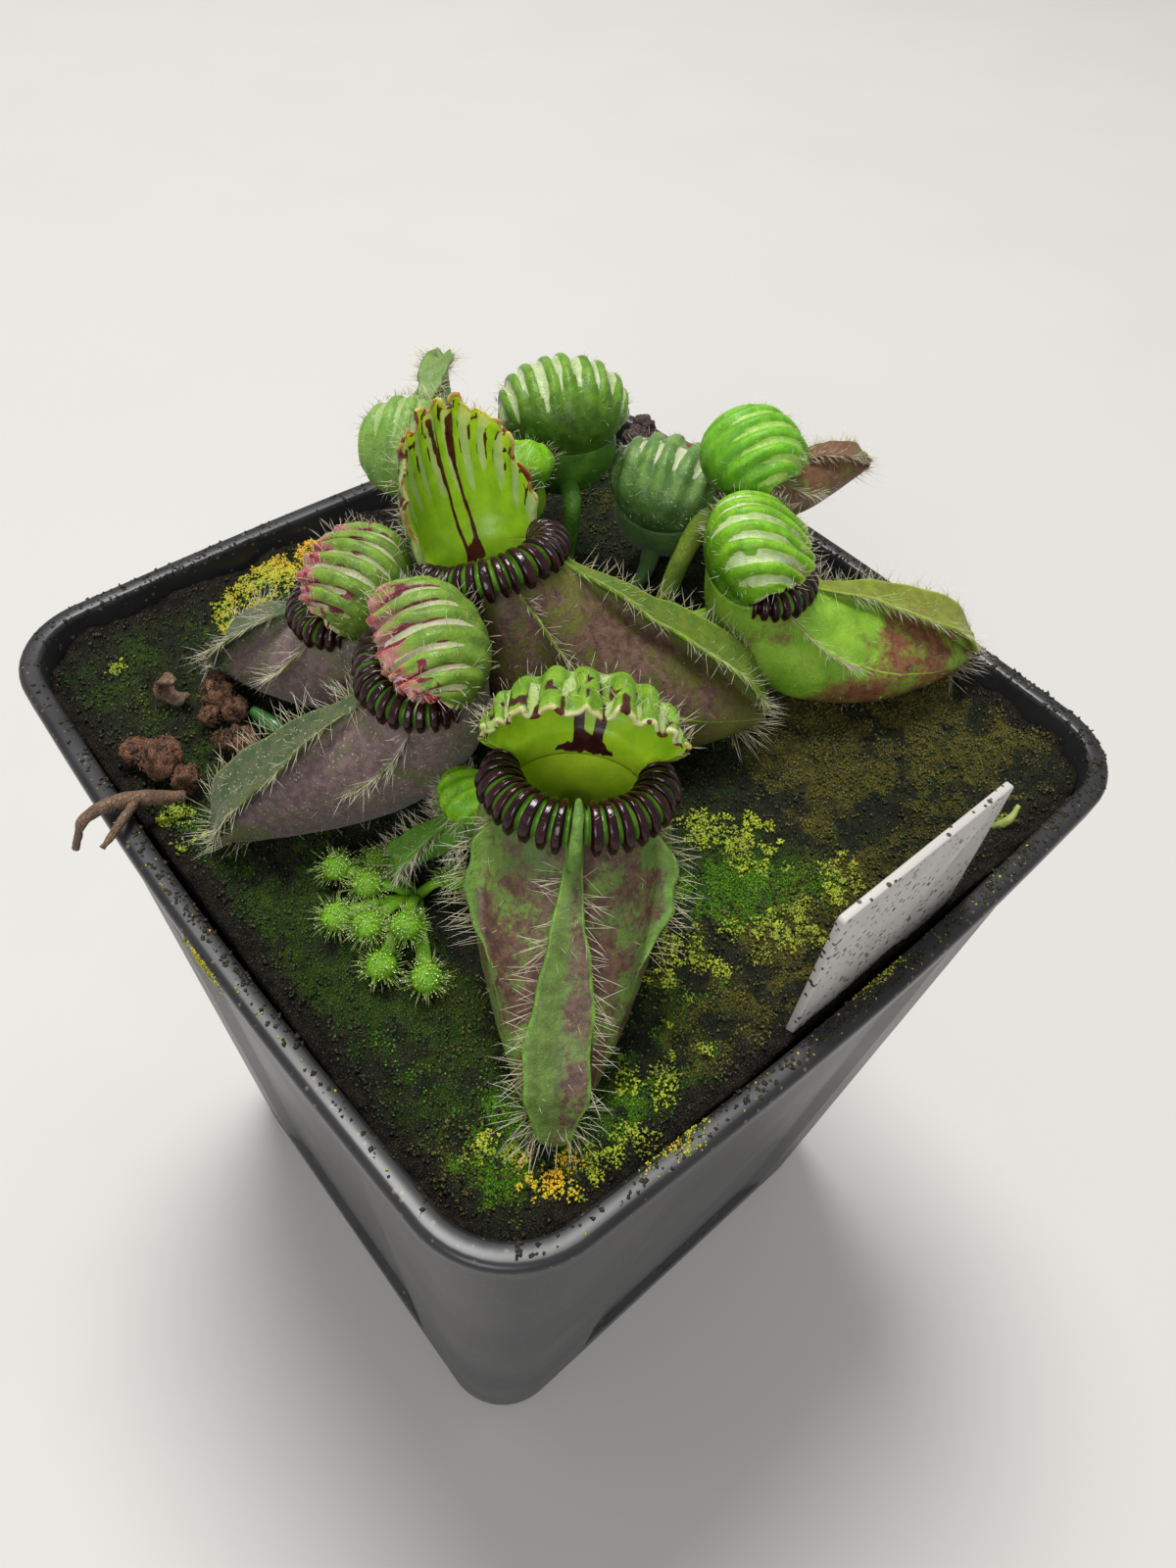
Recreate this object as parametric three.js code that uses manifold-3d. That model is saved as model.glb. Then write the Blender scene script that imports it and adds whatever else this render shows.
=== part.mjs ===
// Albany pitcher plant growing in a square nursery pot. Millimetres, +Z up.
// The origin is the middle of the pot's base. The pot's walls face X and Y, and the
// corner at -X -Y is the near one, where the largest pitchers point.
import * as THREE from 'three';
import { mergeVertices } from 'three/addons/utils/BufferGeometryUtils.js';
import Module from 'manifold-3d';

const wasm = await Module();
wasm.setup();

// Pot
const POT_HEIGHT = 100;
const RIM_HALF = 45;
const BASE_HALF = 33.5;
const RIM_CORNER = 9.1;
const BASE_CORNER = 8.7;
const WALL = 1.2;
const FLOOR = 1.6;
const LIP_HEIGHT = 3;
const LIP_OUT = 1.2;
const SIDE_BOW = 1.1;
const PANEL_DEPTH = 1;
const PANEL_LOW = 7;
const PANEL_HIGH = 86;
const PANEL_SHARE = 0.6;
const DRAIN_RADIUS = 3;
const DRAIN_OUT = 19;

// Soil
const SOIL_TOP = 96.4;
const SOIL_CROWN = 87.6;
const GAP = 0.3;
const REST_GAP = 0.55;
const HOLE_GAP = 0.6;
const STALK_DEPTH = 4;

// Pitchers
const CUP_WALL = 0.9;
const LID_THICK = 0.75;
const YOUNG_LID_THICK = 0.62;
const HEEL_SHARE = 0.62;

// Label stuck in the soil beside the front right wall
const TAG_FROM = [-9, -41.3, 87.5];
const TAG_SIZE = [23, 0.8, 28.5];
const TAG_LEAN = 2.3;

const COLOURS = {
  pot: [0x17171a, 0.32],
  soil: [0x1d2113, 0.95],
  cupBronze: [0x5b5540, 0.6],
  cupPurple: [0x5a4a4b, 0.65],
  cupGreen: [0x5f8a2a, 0.55],
  youngGreen: [0x4f8f2c, 0.5],
  lidGreen: [0x86a83c, 0.45],
  lidRed: [0xa8707a, 0.5],
  peristome: [0x2a1016, 0.22],
  sundew: [0x4f9c1e, 0.35],
  tag: [0xd9d9d6, 0.5],
  crumb: [0x5c3a22, 0.95],
  dryLeaf: [0x4a3a30, 0.9],
};

function materialOf(name) {
  const [color, roughness] = COLOURS[name];
  return new THREE.MeshStandardMaterial({ color, roughness, metalness: 0 });
}

function namedMesh(name, geometry, colour) {
  const mesh = new THREE.Mesh(geometry, materialOf(colour));
  mesh.name = name;
  return mesh;
}

// Numbers along a curve

function mix(a, b, t) {
  return a + (b - a) * t;
}

function smooth(low, high, t) {
  const u = Math.min(1, Math.max(0, (t - low) / (high - low)));
  return u * u * (3 - 2 * u);
}

function bezier(p, t) {
  const s = 1 - t;
  return s * s * s * p[0] + 3 * s * s * t * p[1] + 3 * s * t * t * p[2] + t * t * t * p[3];
}

function radians(degrees) {
  return (degrees * Math.PI) / 180;
}

// A closed skin over a stack of rings with as many points each, and a pole at either end
function skin(rings, firstPole, lastPole) {
  const count = rings[0].length;
  const positions = [];
  const index = [];
  for (const ring of rings) {
    for (const p of ring) positions.push(p.x, p.y, p.z);
  }
  for (let r = 0; r + 1 < rings.length; r += 1) {
    for (let c = 0; c < count; c += 1) {
      const a = r * count + c;
      const b = r * count + ((c + 1) % count);
      index.push(a, b, b + count, a, b + count, a + count);
    }
  }
  const first = positions.length / 3;
  positions.push(firstPole.x, firstPole.y, firstPole.z);
  positions.push(lastPole.x, lastPole.y, lastPole.z);
  const lastRing = (rings.length - 1) * count;
  for (let c = 0; c < count; c += 1) {
    const d = (c + 1) % count;
    index.push(first, d, c);
    index.push(first + 1, lastRing + c, lastRing + d);
  }
  return outward(positions, index);
}

// A closed skin over rings that join end to end, as a section swept round and capped
function sweptSolid(sections) {
  return skin(sections, centreOf(sections[0]), centreOf(sections[sections.length - 1]));
}

function centreOf(points) {
  const sum = new THREE.Vector3();
  for (const p of points) sum.add(p);
  return sum.multiplyScalar(1 / points.length);
}

function outward(positions, index) {
  let volume = 0;
  for (let i = 0; i < index.length; i += 3) {
    const [a, b, c] = [index[i], index[i + 1], index[i + 2]].map(
      (k) => new THREE.Vector3(positions[3 * k], positions[3 * k + 1], positions[3 * k + 2]));
    volume += a.dot(b.cross(c));
  }
  if (volume < 0) {
    for (let i = 0; i < index.length; i += 3) {
      [index[i], index[i + 1]] = [index[i + 1], index[i]];
    }
  }
  const geometry = new THREE.BufferGeometry();
  geometry.setAttribute('position', new THREE.Float32BufferAttribute(positions, 3));
  geometry.setIndex(index);
  return geometry;
}

// Joins and cuts

function toSolid(geometry) {
  const bare = geometry.clone();
  bare.deleteAttribute('normal');
  bare.deleteAttribute('uv');
  const merged = mergeVertices(bare, 1e-4);
  return new wasm.Manifold(new wasm.Mesh({
    numProp: 3,
    vertProperties: new Float32Array(merged.attributes.position.array),
    triVerts: new Uint32Array(merged.index.array),
  }));
}

function toGeometry(solid) {
  const mesh = solid.getMesh();
  const geometry = new THREE.BufferGeometry();
  geometry.setAttribute('position', new THREE.Float32BufferAttribute(mesh.vertProperties, 3));
  geometry.setIndex(Array.from(mesh.triVerts));
  return geometry;
}

function joined(geometries) {
  return toGeometry(geometries.map(toSolid).reduce((whole, next) => whole.add(next)));
}

function cut(geometry, tools) {
  return toGeometry(tools.map(toSolid).reduce((rest, tool) => rest.subtract(tool), toSolid(geometry)));
}

// A round tapering stalk through a few points
function stalk(points, radii, sides, steps) {
  const curve = new THREE.CatmullRomCurve3(points, false, 'centripetal');
  const frames = curve.computeFrenetFrames(steps, false);
  const rings = [];
  for (let i = 0; i <= steps; i += 1) {
    const t = i / steps;
    const middle = curve.getPointAt(t);
    const span = t * (radii.length - 1);
    const low = Math.min(radii.length - 2, Math.floor(span));
    const radius = mix(radii[low], radii[low + 1], span - low);
    const ring = [];
    for (let k = 0; k < sides; k += 1) {
      const angle = (2 * Math.PI * k) / sides;
      ring.push(middle.clone()
        .addScaledVector(frames.normals[i], radius * Math.cos(angle))
        .addScaledVector(frames.binormals[i], radius * Math.sin(angle)));
    }
    rings.push(ring);
  }
  return skin(rings, curve.getPointAt(0), curve.getPointAt(1));
}

// Pot: one moulded shell with a rolled lip and a sunk panel in each side

const SIDE_STATIONS = [-1, -PANEL_SHARE - 0.05, -PANEL_SHARE, 0, PANEL_SHARE, PANEL_SHARE + 0.05];
const CORNER_STEPS = 3;

function squareRing(half, corner, z, panel, bow) {
  const straight = half - corner;
  const ring = [];
  for (let side = 0; side < 4; side += 1) {
    const turn = (side * Math.PI) / 2;
    const place = (along, out) => ring.push(new THREE.Vector3(
      along * Math.cos(turn) + out * Math.sin(turn), along * Math.sin(turn) - out * Math.cos(turn), z));
    for (const station of SIDE_STATIONS) {
      const sunk = Math.abs(station) <= PANEL_SHARE + 1e-6 ? panel : 0;
      place(station * straight, half + bow * Math.cos((station * Math.PI) / 2) - sunk);
    }
    for (let k = 0; k < CORNER_STEPS; k += 1) {
      const angle = ((k / CORNER_STEPS) * Math.PI) / 2;
      place(straight + corner * Math.sin(angle), straight + corner * Math.cos(angle));
    }
  }
  return ring;
}

function potHalf(z) {
  return mix(BASE_HALF, RIM_HALF - LIP_OUT, z / POT_HEIGHT);
}

function potRing(z, out, panel) {
  const t = z / POT_HEIGHT;
  return squareRing(potHalf(z) + out, mix(BASE_CORNER, RIM_CORNER, t) + out, z, panel, SIDE_BOW * t);
}

function potGeometry() {
  const lipLow = POT_HEIGHT - LIP_HEIGHT;
  const rings = [
    potRing(0, -1.2, 0),
    potRing(1, 0, 0),
    potRing(PANEL_LOW, 0, 0),
    potRing(PANEL_LOW + 1.5, 0, PANEL_DEPTH),
    potRing(PANEL_HIGH - 1.5, 0, PANEL_DEPTH),
    potRing(PANEL_HIGH, 0, 0),
    potRing(lipLow, 0, 0),
    potRing(lipLow + 0.3, LIP_OUT, 0),
    potRing(POT_HEIGHT - 0.8, LIP_OUT, 0),
    potRing(POT_HEIGHT, LIP_OUT - 0.8, 0),
    potRing(POT_HEIGHT, 0.4 - WALL, 0),
    potRing(POT_HEIGHT - 1, -WALL, 0),
    potRing(PANEL_HIGH, -WALL, 0),
    potRing(PANEL_HIGH - 1.5, -WALL, PANEL_DEPTH),
    potRing(PANEL_LOW + 1.5, -WALL, PANEL_DEPTH),
    potRing(FLOOR, -WALL, 0),
  ];
  const shell = skin(rings, new THREE.Vector3(0, 0, 0), new THREE.Vector3(0, 0, FLOOR));
  const drains = [];
  for (const sx of [-1, 1]) {
    for (const sy of [-1, 1]) {
      const hole = new THREE.CylinderGeometry(DRAIN_RADIUS, DRAIN_RADIUS, 4 * FLOOR, 16);
      hole.rotateX(Math.PI / 2);
      hole.translate(sx * DRAIN_OUT, sy * DRAIN_OUT, 0);
      drains.push(hole);
    }
  }
  return cut(shell, drains);
}

// Soil: fills the pot, with a crumbly uneven top

function soilTop(x, y) {
  const edge = Math.max(Math.abs(x), Math.abs(y)) / RIM_HALF;
  return SOIL_TOP
    + 0.25 * Math.sin(0.31 * x + 1.3) * Math.cos(0.27 * y - 0.6)
    + 0.12 * Math.sin(0.63 * x - 0.4 * y)
    + 1.2 * smooth(0.8, 0.94, edge) * (1 + 0.4 * Math.sin(0.5 * x + 0.9 * y));
}

function soilRing(share, z, inset) {
  const t = z / POT_HEIGHT;
  const half = potHalf(z) - WALL - GAP - inset;
  const ring = squareRing(half, mix(BASE_CORNER, RIM_CORNER, t) - WALL, z, 0, SIDE_BOW * t);
  for (const p of ring) {
    p.x *= share;
    p.y *= share;
  }
  return ring;
}

function soilGeometry() {
  const rings = [
    soilRing(1, FLOOR + GAP, PANEL_DEPTH + 0.1),
    soilRing(1, PANEL_HIGH - 1.4, PANEL_DEPTH + 0.1),
    soilRing(1, SOIL_CROWN, 0.1),
    soilRing(1, SOIL_TOP - 1.5, 0.1),
  ];
  for (const share of [1, 0.94, 0.86, 0.74, 0.56, 0.36, 0.16]) {
    const ring = soilRing(share, SOIL_TOP, 0.1);
    for (const p of ring) p.z = soilTop(p.x, p.y);
    rings.push(ring);
  }
  const bottom = new THREE.Vector3(0, 0, FLOOR + GAP);
  const solid = skin(rings, bottom, new THREE.Vector3(0, 0, soilTop(0, 0)));
  return cut(solid, [tagSlot(), ...soilHoles()]);
}

// Plain round hole that a stalk stands in
function soilHole(x, y, radius) {
  const depth = STALK_DEPTH + 1;
  const hole = new THREE.CylinderGeometry(radius + HOLE_GAP, radius + HOLE_GAP, depth + 8, 10);
  hole.rotateX(Math.PI / 2);
  hole.translate(x, y, SOIL_TOP + 4 - depth / 2);
  return hole;
}

// The slot for the label runs out to the edge of the soil
function tagSlot() {
  const slot = new THREE.BoxGeometry(TAG_SIZE[0] + 2 * GAP, 6, 20);
  const inner = TAG_FROM[1] + TAG_SIZE[1] / 2 + GAP;
  slot.translate(TAG_FROM[0] + TAG_SIZE[0] / 2, inner - 3, TAG_FROM[2] - GAP + 10);
  return slot;
}

function tagMesh() {
  const plate = new THREE.BoxGeometry(...TAG_SIZE);
  plate.translate(TAG_SIZE[0] / 2, 0, TAG_SIZE[2] / 2);
  const tag = namedMesh('label', plate, 'tag');
  tag.position.set(...TAG_FROM);
  tag.rotation.x = radians(TAG_LEAN);
  return tag;
}

// Pitcher: a moccasin-shaped cup, open at the top behind, with its toe forward.
// Local axes: x across, y forward to the toe, z up from the middle of the mouth.

const SIDE_ANGLE = 30;
const WING_ANGLE = 60;
const WING_SPREAD = 6;
const BACK_ANGLES = [90, 120, 150];
const THROAT_KEEL_ANGLES = [5, 10, 15, 20];
const KEEL_STEM = 0.55;
const KEEL_THICK = 0.8;
const CUP_STATIONS = [0, 0.07, 0.17, 0.3, 0.45, 0.6, 0.75, 0.88, 0.96];
const YOUNG_STATIONS = [0, 0.18, 0.45, 0.75, 0.95];
const THROAT_STATIONS = [0, 0.12, 0.3];
const THROAT_END = 0.42;
const MOUTH_BLEND = 0.5;
const STALK_STATION = 0.24;

function profileOf(p) {
  const out = p.length - p.depth;
  const low = p.toeRise - p.drop;
  return {
    frontY: [p.depth, p.depth + 0.1 * out, p.depth + 0.66 * out, p.length],
    frontZ: [0, 0.3 * low, p.arch * low, low + 0.07 * p.drop],
    backY: [-p.depth, -p.depth - p.heel, 0.12 * p.length, p.length - 0.6],
    backZ: [0, -HEEL_SHARE * p.drop, -1.22 * p.drop, low],
    half: [p.width, p.swell[0] * p.belly, p.swell[1] * p.belly, 0.16 * p.belly],
  };
}

// Turn of the mouth, its peristome and its lid against the cup below
function mouthTurn(p) {
  const [nod, lean, twist] = p.mouth.map(radians);
  return new THREE.Quaternion().setFromEuler(new THREE.Euler(nod, lean, twist, 'ZYX'));
}

// Tilt of the cup's rim: the mouth's turn without its twist
function mouthTilt(p) {
  const twist = new THREE.Quaternion().setFromAxisAngle(new THREE.Vector3(0, 0, 1), radians(p.mouth[2]));
  return mouthTurn(p).multiply(twist.invert());
}

// Point of a cross-section: theta 0 is the keel line and 180 the heel side
function sectionPoint(p, v, theta, inset, lift) {
  const { profile } = p;
  const front = [bezier(profile.frontY, v), bezier(profile.frontZ, v)];
  const back = [bezier(profile.backY, v), bezier(profile.backZ, v)];
  const chord = Math.hypot(front[0] - back[0], front[1] - back[1]);
  const s0 = Math.sin(theta);
  const s = Math.abs(s0);
  const c = Math.cos(theta);
  const power = c > 0 ? 1.8 : 2.3;
  const rho = (s ** power + Math.abs(c) ** power) ** (-1 / power);
  const flank = mix(1, p.flanks[s0 > 0 ? 1 : 0], smooth(0, 0.35, v));
  const half = Math.max(0.1, bezier(profile.half, v) * flank - inset);
  const reach = Math.max(0.1, chord / 2 - inset);
  const along = rho * c * reach + lift * c;
  return turned(p, v, new THREE.Vector3(
    Math.sign(s0) * (rho * s * half + lift * s),
    (front[0] + back[0]) / 2 + ((front[0] - back[0]) / chord) * along,
    (front[1] + back[1]) / 2 + ((front[1] - back[1]) / chord) * along));
}

function turned(p, v, point) {
  const share = 1 - smooth(0, MOUTH_BLEND, v);
  return point.clone().applyQuaternion(mouthTilt(p)).lerp(point, 1 - share);
}

function wingLift(p, v) {
  return p.wing * smooth(0.07, 0.2, v) * (1 - smooth(0.35, 0.6, v));
}

function keelLift(p, v) {
  return p.keel * (0.08 + 0.92 * smooth(0.07, 0.4, v)) * (1 - 0.5 * smooth(0.85, 1, v));
}

function flangeHalf(p, v) {
  return mix(KEEL_STEM + 0.15, p.flange, smooth(0.1, 0.75, v)) * (1 - 0.45 * smooth(0.86, 1, v));
}

function keelPoint(p, v, height, x) {
  const rise = sectionPoint(p, v, 0, 0, height);
  const across = turned(p, v, new THREE.Vector3(1, 0, 0));
  return rise.addScaledVector(across.normalize(), x);
}

function cupRing(p, v) {
  const lift = keelLift(p, v);
  const half = flangeHalf(p, v);
  const at = (degrees, extra) => sectionPoint(p, v, radians(degrees), 0, extra);
  const halfRing = (side) => [
    keelPoint(p, v, lift + 0.1, side * half),
    keelPoint(p, v, Math.max(0.1, lift + 0.1 - KEEL_THICK), side * (half - 0.05)),
    keelPoint(p, v, Math.max(0.04, lift - 0.1 - KEEL_THICK), side * KEEL_STEM),
    keelPoint(p, v, -0.05, side * (KEEL_STEM + 0.1)),
    at(side * SIDE_ANGLE, 0),
    at(side * (WING_ANGLE - WING_SPREAD), 0),
    at(side * WING_ANGLE, wingLift(p, v)),
    at(side * (WING_ANGLE + WING_SPREAD), 0),
    ...BACK_ANGLES.map((a) => at(side * a, 0)),
  ];
  const crest = keelPoint(p, v, lift - 0.15 * smooth(0.2, 0.8, v), 0);
  return [crest, ...halfRing(1), at(180, 0), ...halfRing(-1).reverse()];
}

function throatRing(p, v) {
  const wings = [WING_ANGLE - WING_SPREAD, WING_ANGLE, WING_ANGLE + WING_SPREAD];
  const angles = [...THROAT_KEEL_ANGLES, SIDE_ANGLE, ...wings, ...BACK_ANGLES];
  const at = (degrees) => sectionPoint(p, v, radians(degrees), CUP_WALL, 0);
  return [at(0), ...angles.map(at), at(180), ...angles.map((a) => at(-a)).reverse()];
}

function cupGeometry(p) {
  const stations = p.open ? CUP_STATIONS : YOUNG_STATIONS;
  const outer = [...stations].reverse().map((v) => cupRing(p, v));
  const toe = keelPoint(p, 1, 0.3 * p.keel, 0);
  if (!p.open) return skin(outer, toe, new THREE.Vector3(0, 0, 0));
  const inner = THROAT_STATIONS.map((v) => throatRing(p, v));
  const end = sectionPoint(p, THROAT_END, 0, 0, 0);
  end.add(sectionPoint(p, THROAT_END, Math.PI, 0, 0)).multiplyScalar(0.5);
  return skin([...outer, ...inner], toe, end);
}

// Leaf stalk: leaves the back of the cup and goes down into a hole in the soil
function leafStalk(p, group) {
  const foot = (z) => group.worldToLocal(new THREE.Vector3(p.foot[0], p.foot[1], z));
  const points = [
    sectionPoint(p, STALK_STATION, Math.PI, 0.3, 0),
    sectionPoint(p, STALK_STATION, Math.PI, 0, p.bow),
    foot(SOIL_TOP + 1.6),
    foot(SOIL_TOP - STALK_DEPTH),
  ];
  return stalk(points, [0.8, 1, 1, 1].map((share) => share * p.stalk), 6, 8);
}

// Lift that leaves a cup's lowest place just above the soil
function restLift(geometry, group) {
  const at = new THREE.Vector3();
  let lift = -Infinity;
  for (let i = 0; i < geometry.attributes.position.count; i += 1) {
    at.fromBufferAttribute(geometry.attributes.position, i);
    group.localToWorld(at);
    lift = Math.max(lift, soilTop(at.x, at.y) + REST_GAP - at.z);
  }
  return lift;
}

// Peristome: a roll round the mouth with claw-like ribs, inside over to outside

const ROLL_SECTION = [
  [-0.8, 0.4], [-1.3, -1.2], [-1.8, 0.9], [-0.2, 2.3], [1.6, 1.7], [2.5, 0.2], [2, -0.9], [1, 0.4],
];
const LIP_CLEAR = 0.95;
const ROLL_VALLEY = 0.8;

function mouthPoint(p, phi) {
  return new THREE.Vector3((p.width - 0.45) * Math.sin(phi), (p.depth - 0.45) * Math.cos(phi), 0);
}

function rollSection(p, phi, scale) {
  const middle = mouthPoint(p, phi);
  const out = new THREE.Vector3(Math.sin(phi) / p.width, Math.cos(phi) / p.depth, 0).normalize();
  return ROLL_SECTION.map(([r, z], i) => {
    const under = i === 0 || i === ROLL_SECTION.length - 1;
    const k = under ? 1 : scale * p.rollSize;
    const reach = z < 0 ? Math.sign(r) * Math.max(LIP_CLEAR, Math.abs(r * k)) : r * k;
    return middle.clone().addScaledVector(out, reach).setZ(0.4 + (z - 0.4) * k);
  });
}

function peristomeGeometry(p) {
  const sections = [];
  const steps = 2 * p.ribs;
  for (let i = 0; i <= steps; i += 1) {
    const t = i / steps;
    const phi = radians(mix(-p.sweep, p.sweep, t));
    const end = 0.65 + 0.35 * Math.sin(Math.PI * t) ** 0.5;
    sections.push(rollSection(p, phi, end * (i % 2 === 0 ? ROLL_VALLEY : 1)));
  }
  return sweptSolid(sections);
}

// Lid: a ribbed hood that grows from the back of the mouth's rim. Each rib runs from the rim
// over the crown of the hood to its waved margin. Places in the middle plane are [y, z].

const LID_ROOT_SPREAD = 70;
const LID_ROOT_HEIGHT = 0.7;
// How far the back, crown and margin have risen at the lid's two corners
const LID_CORNER_RISE = [0.45, 1, 1.5];
const LID_CORNER_START = 0.85;
const LID_RIB_FADE = 0.6;

function lidPoint(p, a, r) {
  const cos = Math.cos(radians(90 * a));
  const sin = Math.sin(radians(90 * a));
  const rootAngle = radians(180 - LID_ROOT_SPREAD * a);
  const half = p.width + p.lidOver;
  const corner = [-0.12 * p.depth, 3 * p.rollSize];
  const root = [0.97 * p.width * Math.sin(rootAngle), 0.97 * p.depth * Math.cos(rootAngle),
    LID_ROOT_HEIGHT];
  const ribs = Math.cos(Math.PI * p.lidRibs * a);
  const spread = (place, side, rise) => [
    side * half * sin,
    mix(mix(root[1], corner[0], rise), place[0], cos ** 0.8),
    mix(mix(root[2], corner[1], rise), place[1], cos ** 0.8),
  ];
  const back = spread(p.lidBack, 0.98, LID_CORNER_RISE[0]);
  const front = spread(p.lidFront, 1.02, LID_CORNER_RISE[1]);
  const edge = spread(p.lidEdge, 1.02, LID_CORNER_RISE[2]);
  edge[2] += p.lidWave * ribs * (0.35 + 0.65 * cos);
  const at = (k) => bezier([root[k], back[k], front[k], edge[k]], r);
  return new THREE.Vector3(at(0), at(1), at(2));
}

// Both faces stand off the middle surface along its normal, which points sideways at the corners
function lidFaces(p, a, r) {
  const step = 1e-3;
  const a0 = Math.max(-1, a - step);
  const r0 = Math.min(1, Math.max(0, r - step));
  const across = lidPoint(p, Math.min(1, a + step), r).sub(lidPoint(p, a0, r));
  const along = lidPoint(p, a, Math.min(1, r + step)).sub(lidPoint(p, a, r0));
  const normal = along.cross(across).normalize();
  const sideways = new THREE.Vector3(-Math.sign(a), 0, 0);
  normal.lerp(sideways, smooth(LID_CORNER_START, 1, Math.abs(a))).normalize();
  const middle = lidPoint(p, a, r);
  const rib = p.lidRidge * Math.cos(Math.PI * p.lidRibs * a) * smooth(0.1, 0.5, r)
    * (1 - smooth(LID_RIB_FADE, 1, Math.abs(a)));
  const thick = p.open ? LID_THICK : YOUNG_LID_THICK;
  return [
    middle.clone().addScaledVector(normal, thick / 2 + rib),
    middle.clone().addScaledVector(normal, rib - thick / 2),
  ];
}

const LID_ROWS = [0, 0.28, 0.55, 0.8, 1];
const YOUNG_LID_ROWS = [0, 0.35, 0.7, 1];

function lidGeometry(p) {
  const columns = 2 * p.lidRibs;
  const rowAt = (r) => {
    const faces = [];
    for (let i = 0; i <= columns; i += 1) faces.push(lidFaces(p, mix(-1, 1, i / columns), r));
    return [...faces.map((f) => f[0]), ...faces.map((f) => f[1]).reverse()];
  };
  return bladeSolid((p.open ? LID_ROWS : YOUNG_LID_ROWS).map(rowAt), columns + 1);
}

// A thin blade from rows of points: each row runs along the top face and back underneath,
// and both faces are split along the same diagonals
function bladeSolid(rows, width) {
  const positions = rows.flat().flatMap((q) => [q.x, q.y, q.z]);
  const size = 2 * width;
  const top = (r, c) => r * size + c;
  const low = (r, c) => r * size + size - 1 - c;
  const index = [];
  const quad = (a, b, c, d) => index.push(a, b, c, a, c, d);
  for (let r = 0; r + 1 < rows.length; r += 1) {
    for (let c = 0; c + 1 < width; c += 1) {
      quad(top(r, c), top(r, c + 1), top(r + 1, c + 1), top(r + 1, c));
      index.push(low(r, c), low(r + 1, c + 1), low(r, c + 1));
      index.push(low(r, c), low(r + 1, c), low(r + 1, c + 1));
    }
    quad(top(r, 0), top(r + 1, 0), low(r + 1, 0), low(r, 0));
    quad(top(r + 1, width - 1), top(r, width - 1), low(r, width - 1), low(r + 1, width - 1));
  }
  const last = rows.length - 1;
  for (let c = 0; c + 1 < width; c += 1) {
    quad(top(0, c + 1), top(0, c), low(0, c), low(0, c + 1));
    quad(top(last, c), top(last, c + 1), low(last, c + 1), low(last, c));
  }
  return outward(positions, index);
}

// One pitcher: cup with its stalk, peristome and lid in a group of its own

const BIG = {
  open: true, width: 7.4, depth: 6, length: 22, drop: 18, toeRise: 0, arch: 0.5, belly: 9, heel: 2.5,
  wing: 1.7, keel: 2.4, flange: 2.9, ribs: 20, sweep: 102, rollSize: 1, mouth: [0, 0, 0],
  lidOver: 1.2, lidRibs: 9, lidWave: 0.5, lidRidge: 0.2, cup: 'cupBronze', lid: 'lidGreen',
  pitch: 0, roll: 0, lidBack: [-9.5, 6], lidFront: [-8, 13], lidEdge: [0, 9], stalk: 1, bow: 3,
  flanks: [1, 1], swell: [1.3, 0.5],
};

const YOUNG = {
  ...BIG, open: false, width: 5.6, depth: 5, length: 12, drop: 10, belly: 6, heel: 2, wing: 0.8,
  keel: 1.5, flange: 1.6, rollSize: 0.6, lidRibs: 7, lidWave: 0.1, lidRidge: 0.25, cup: 'youngGreen',
  lidBack: [-8.5, 7], lidFront: [6, 10], lidEdge: [6, 0.8], stalk: 0.8,
};

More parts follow.
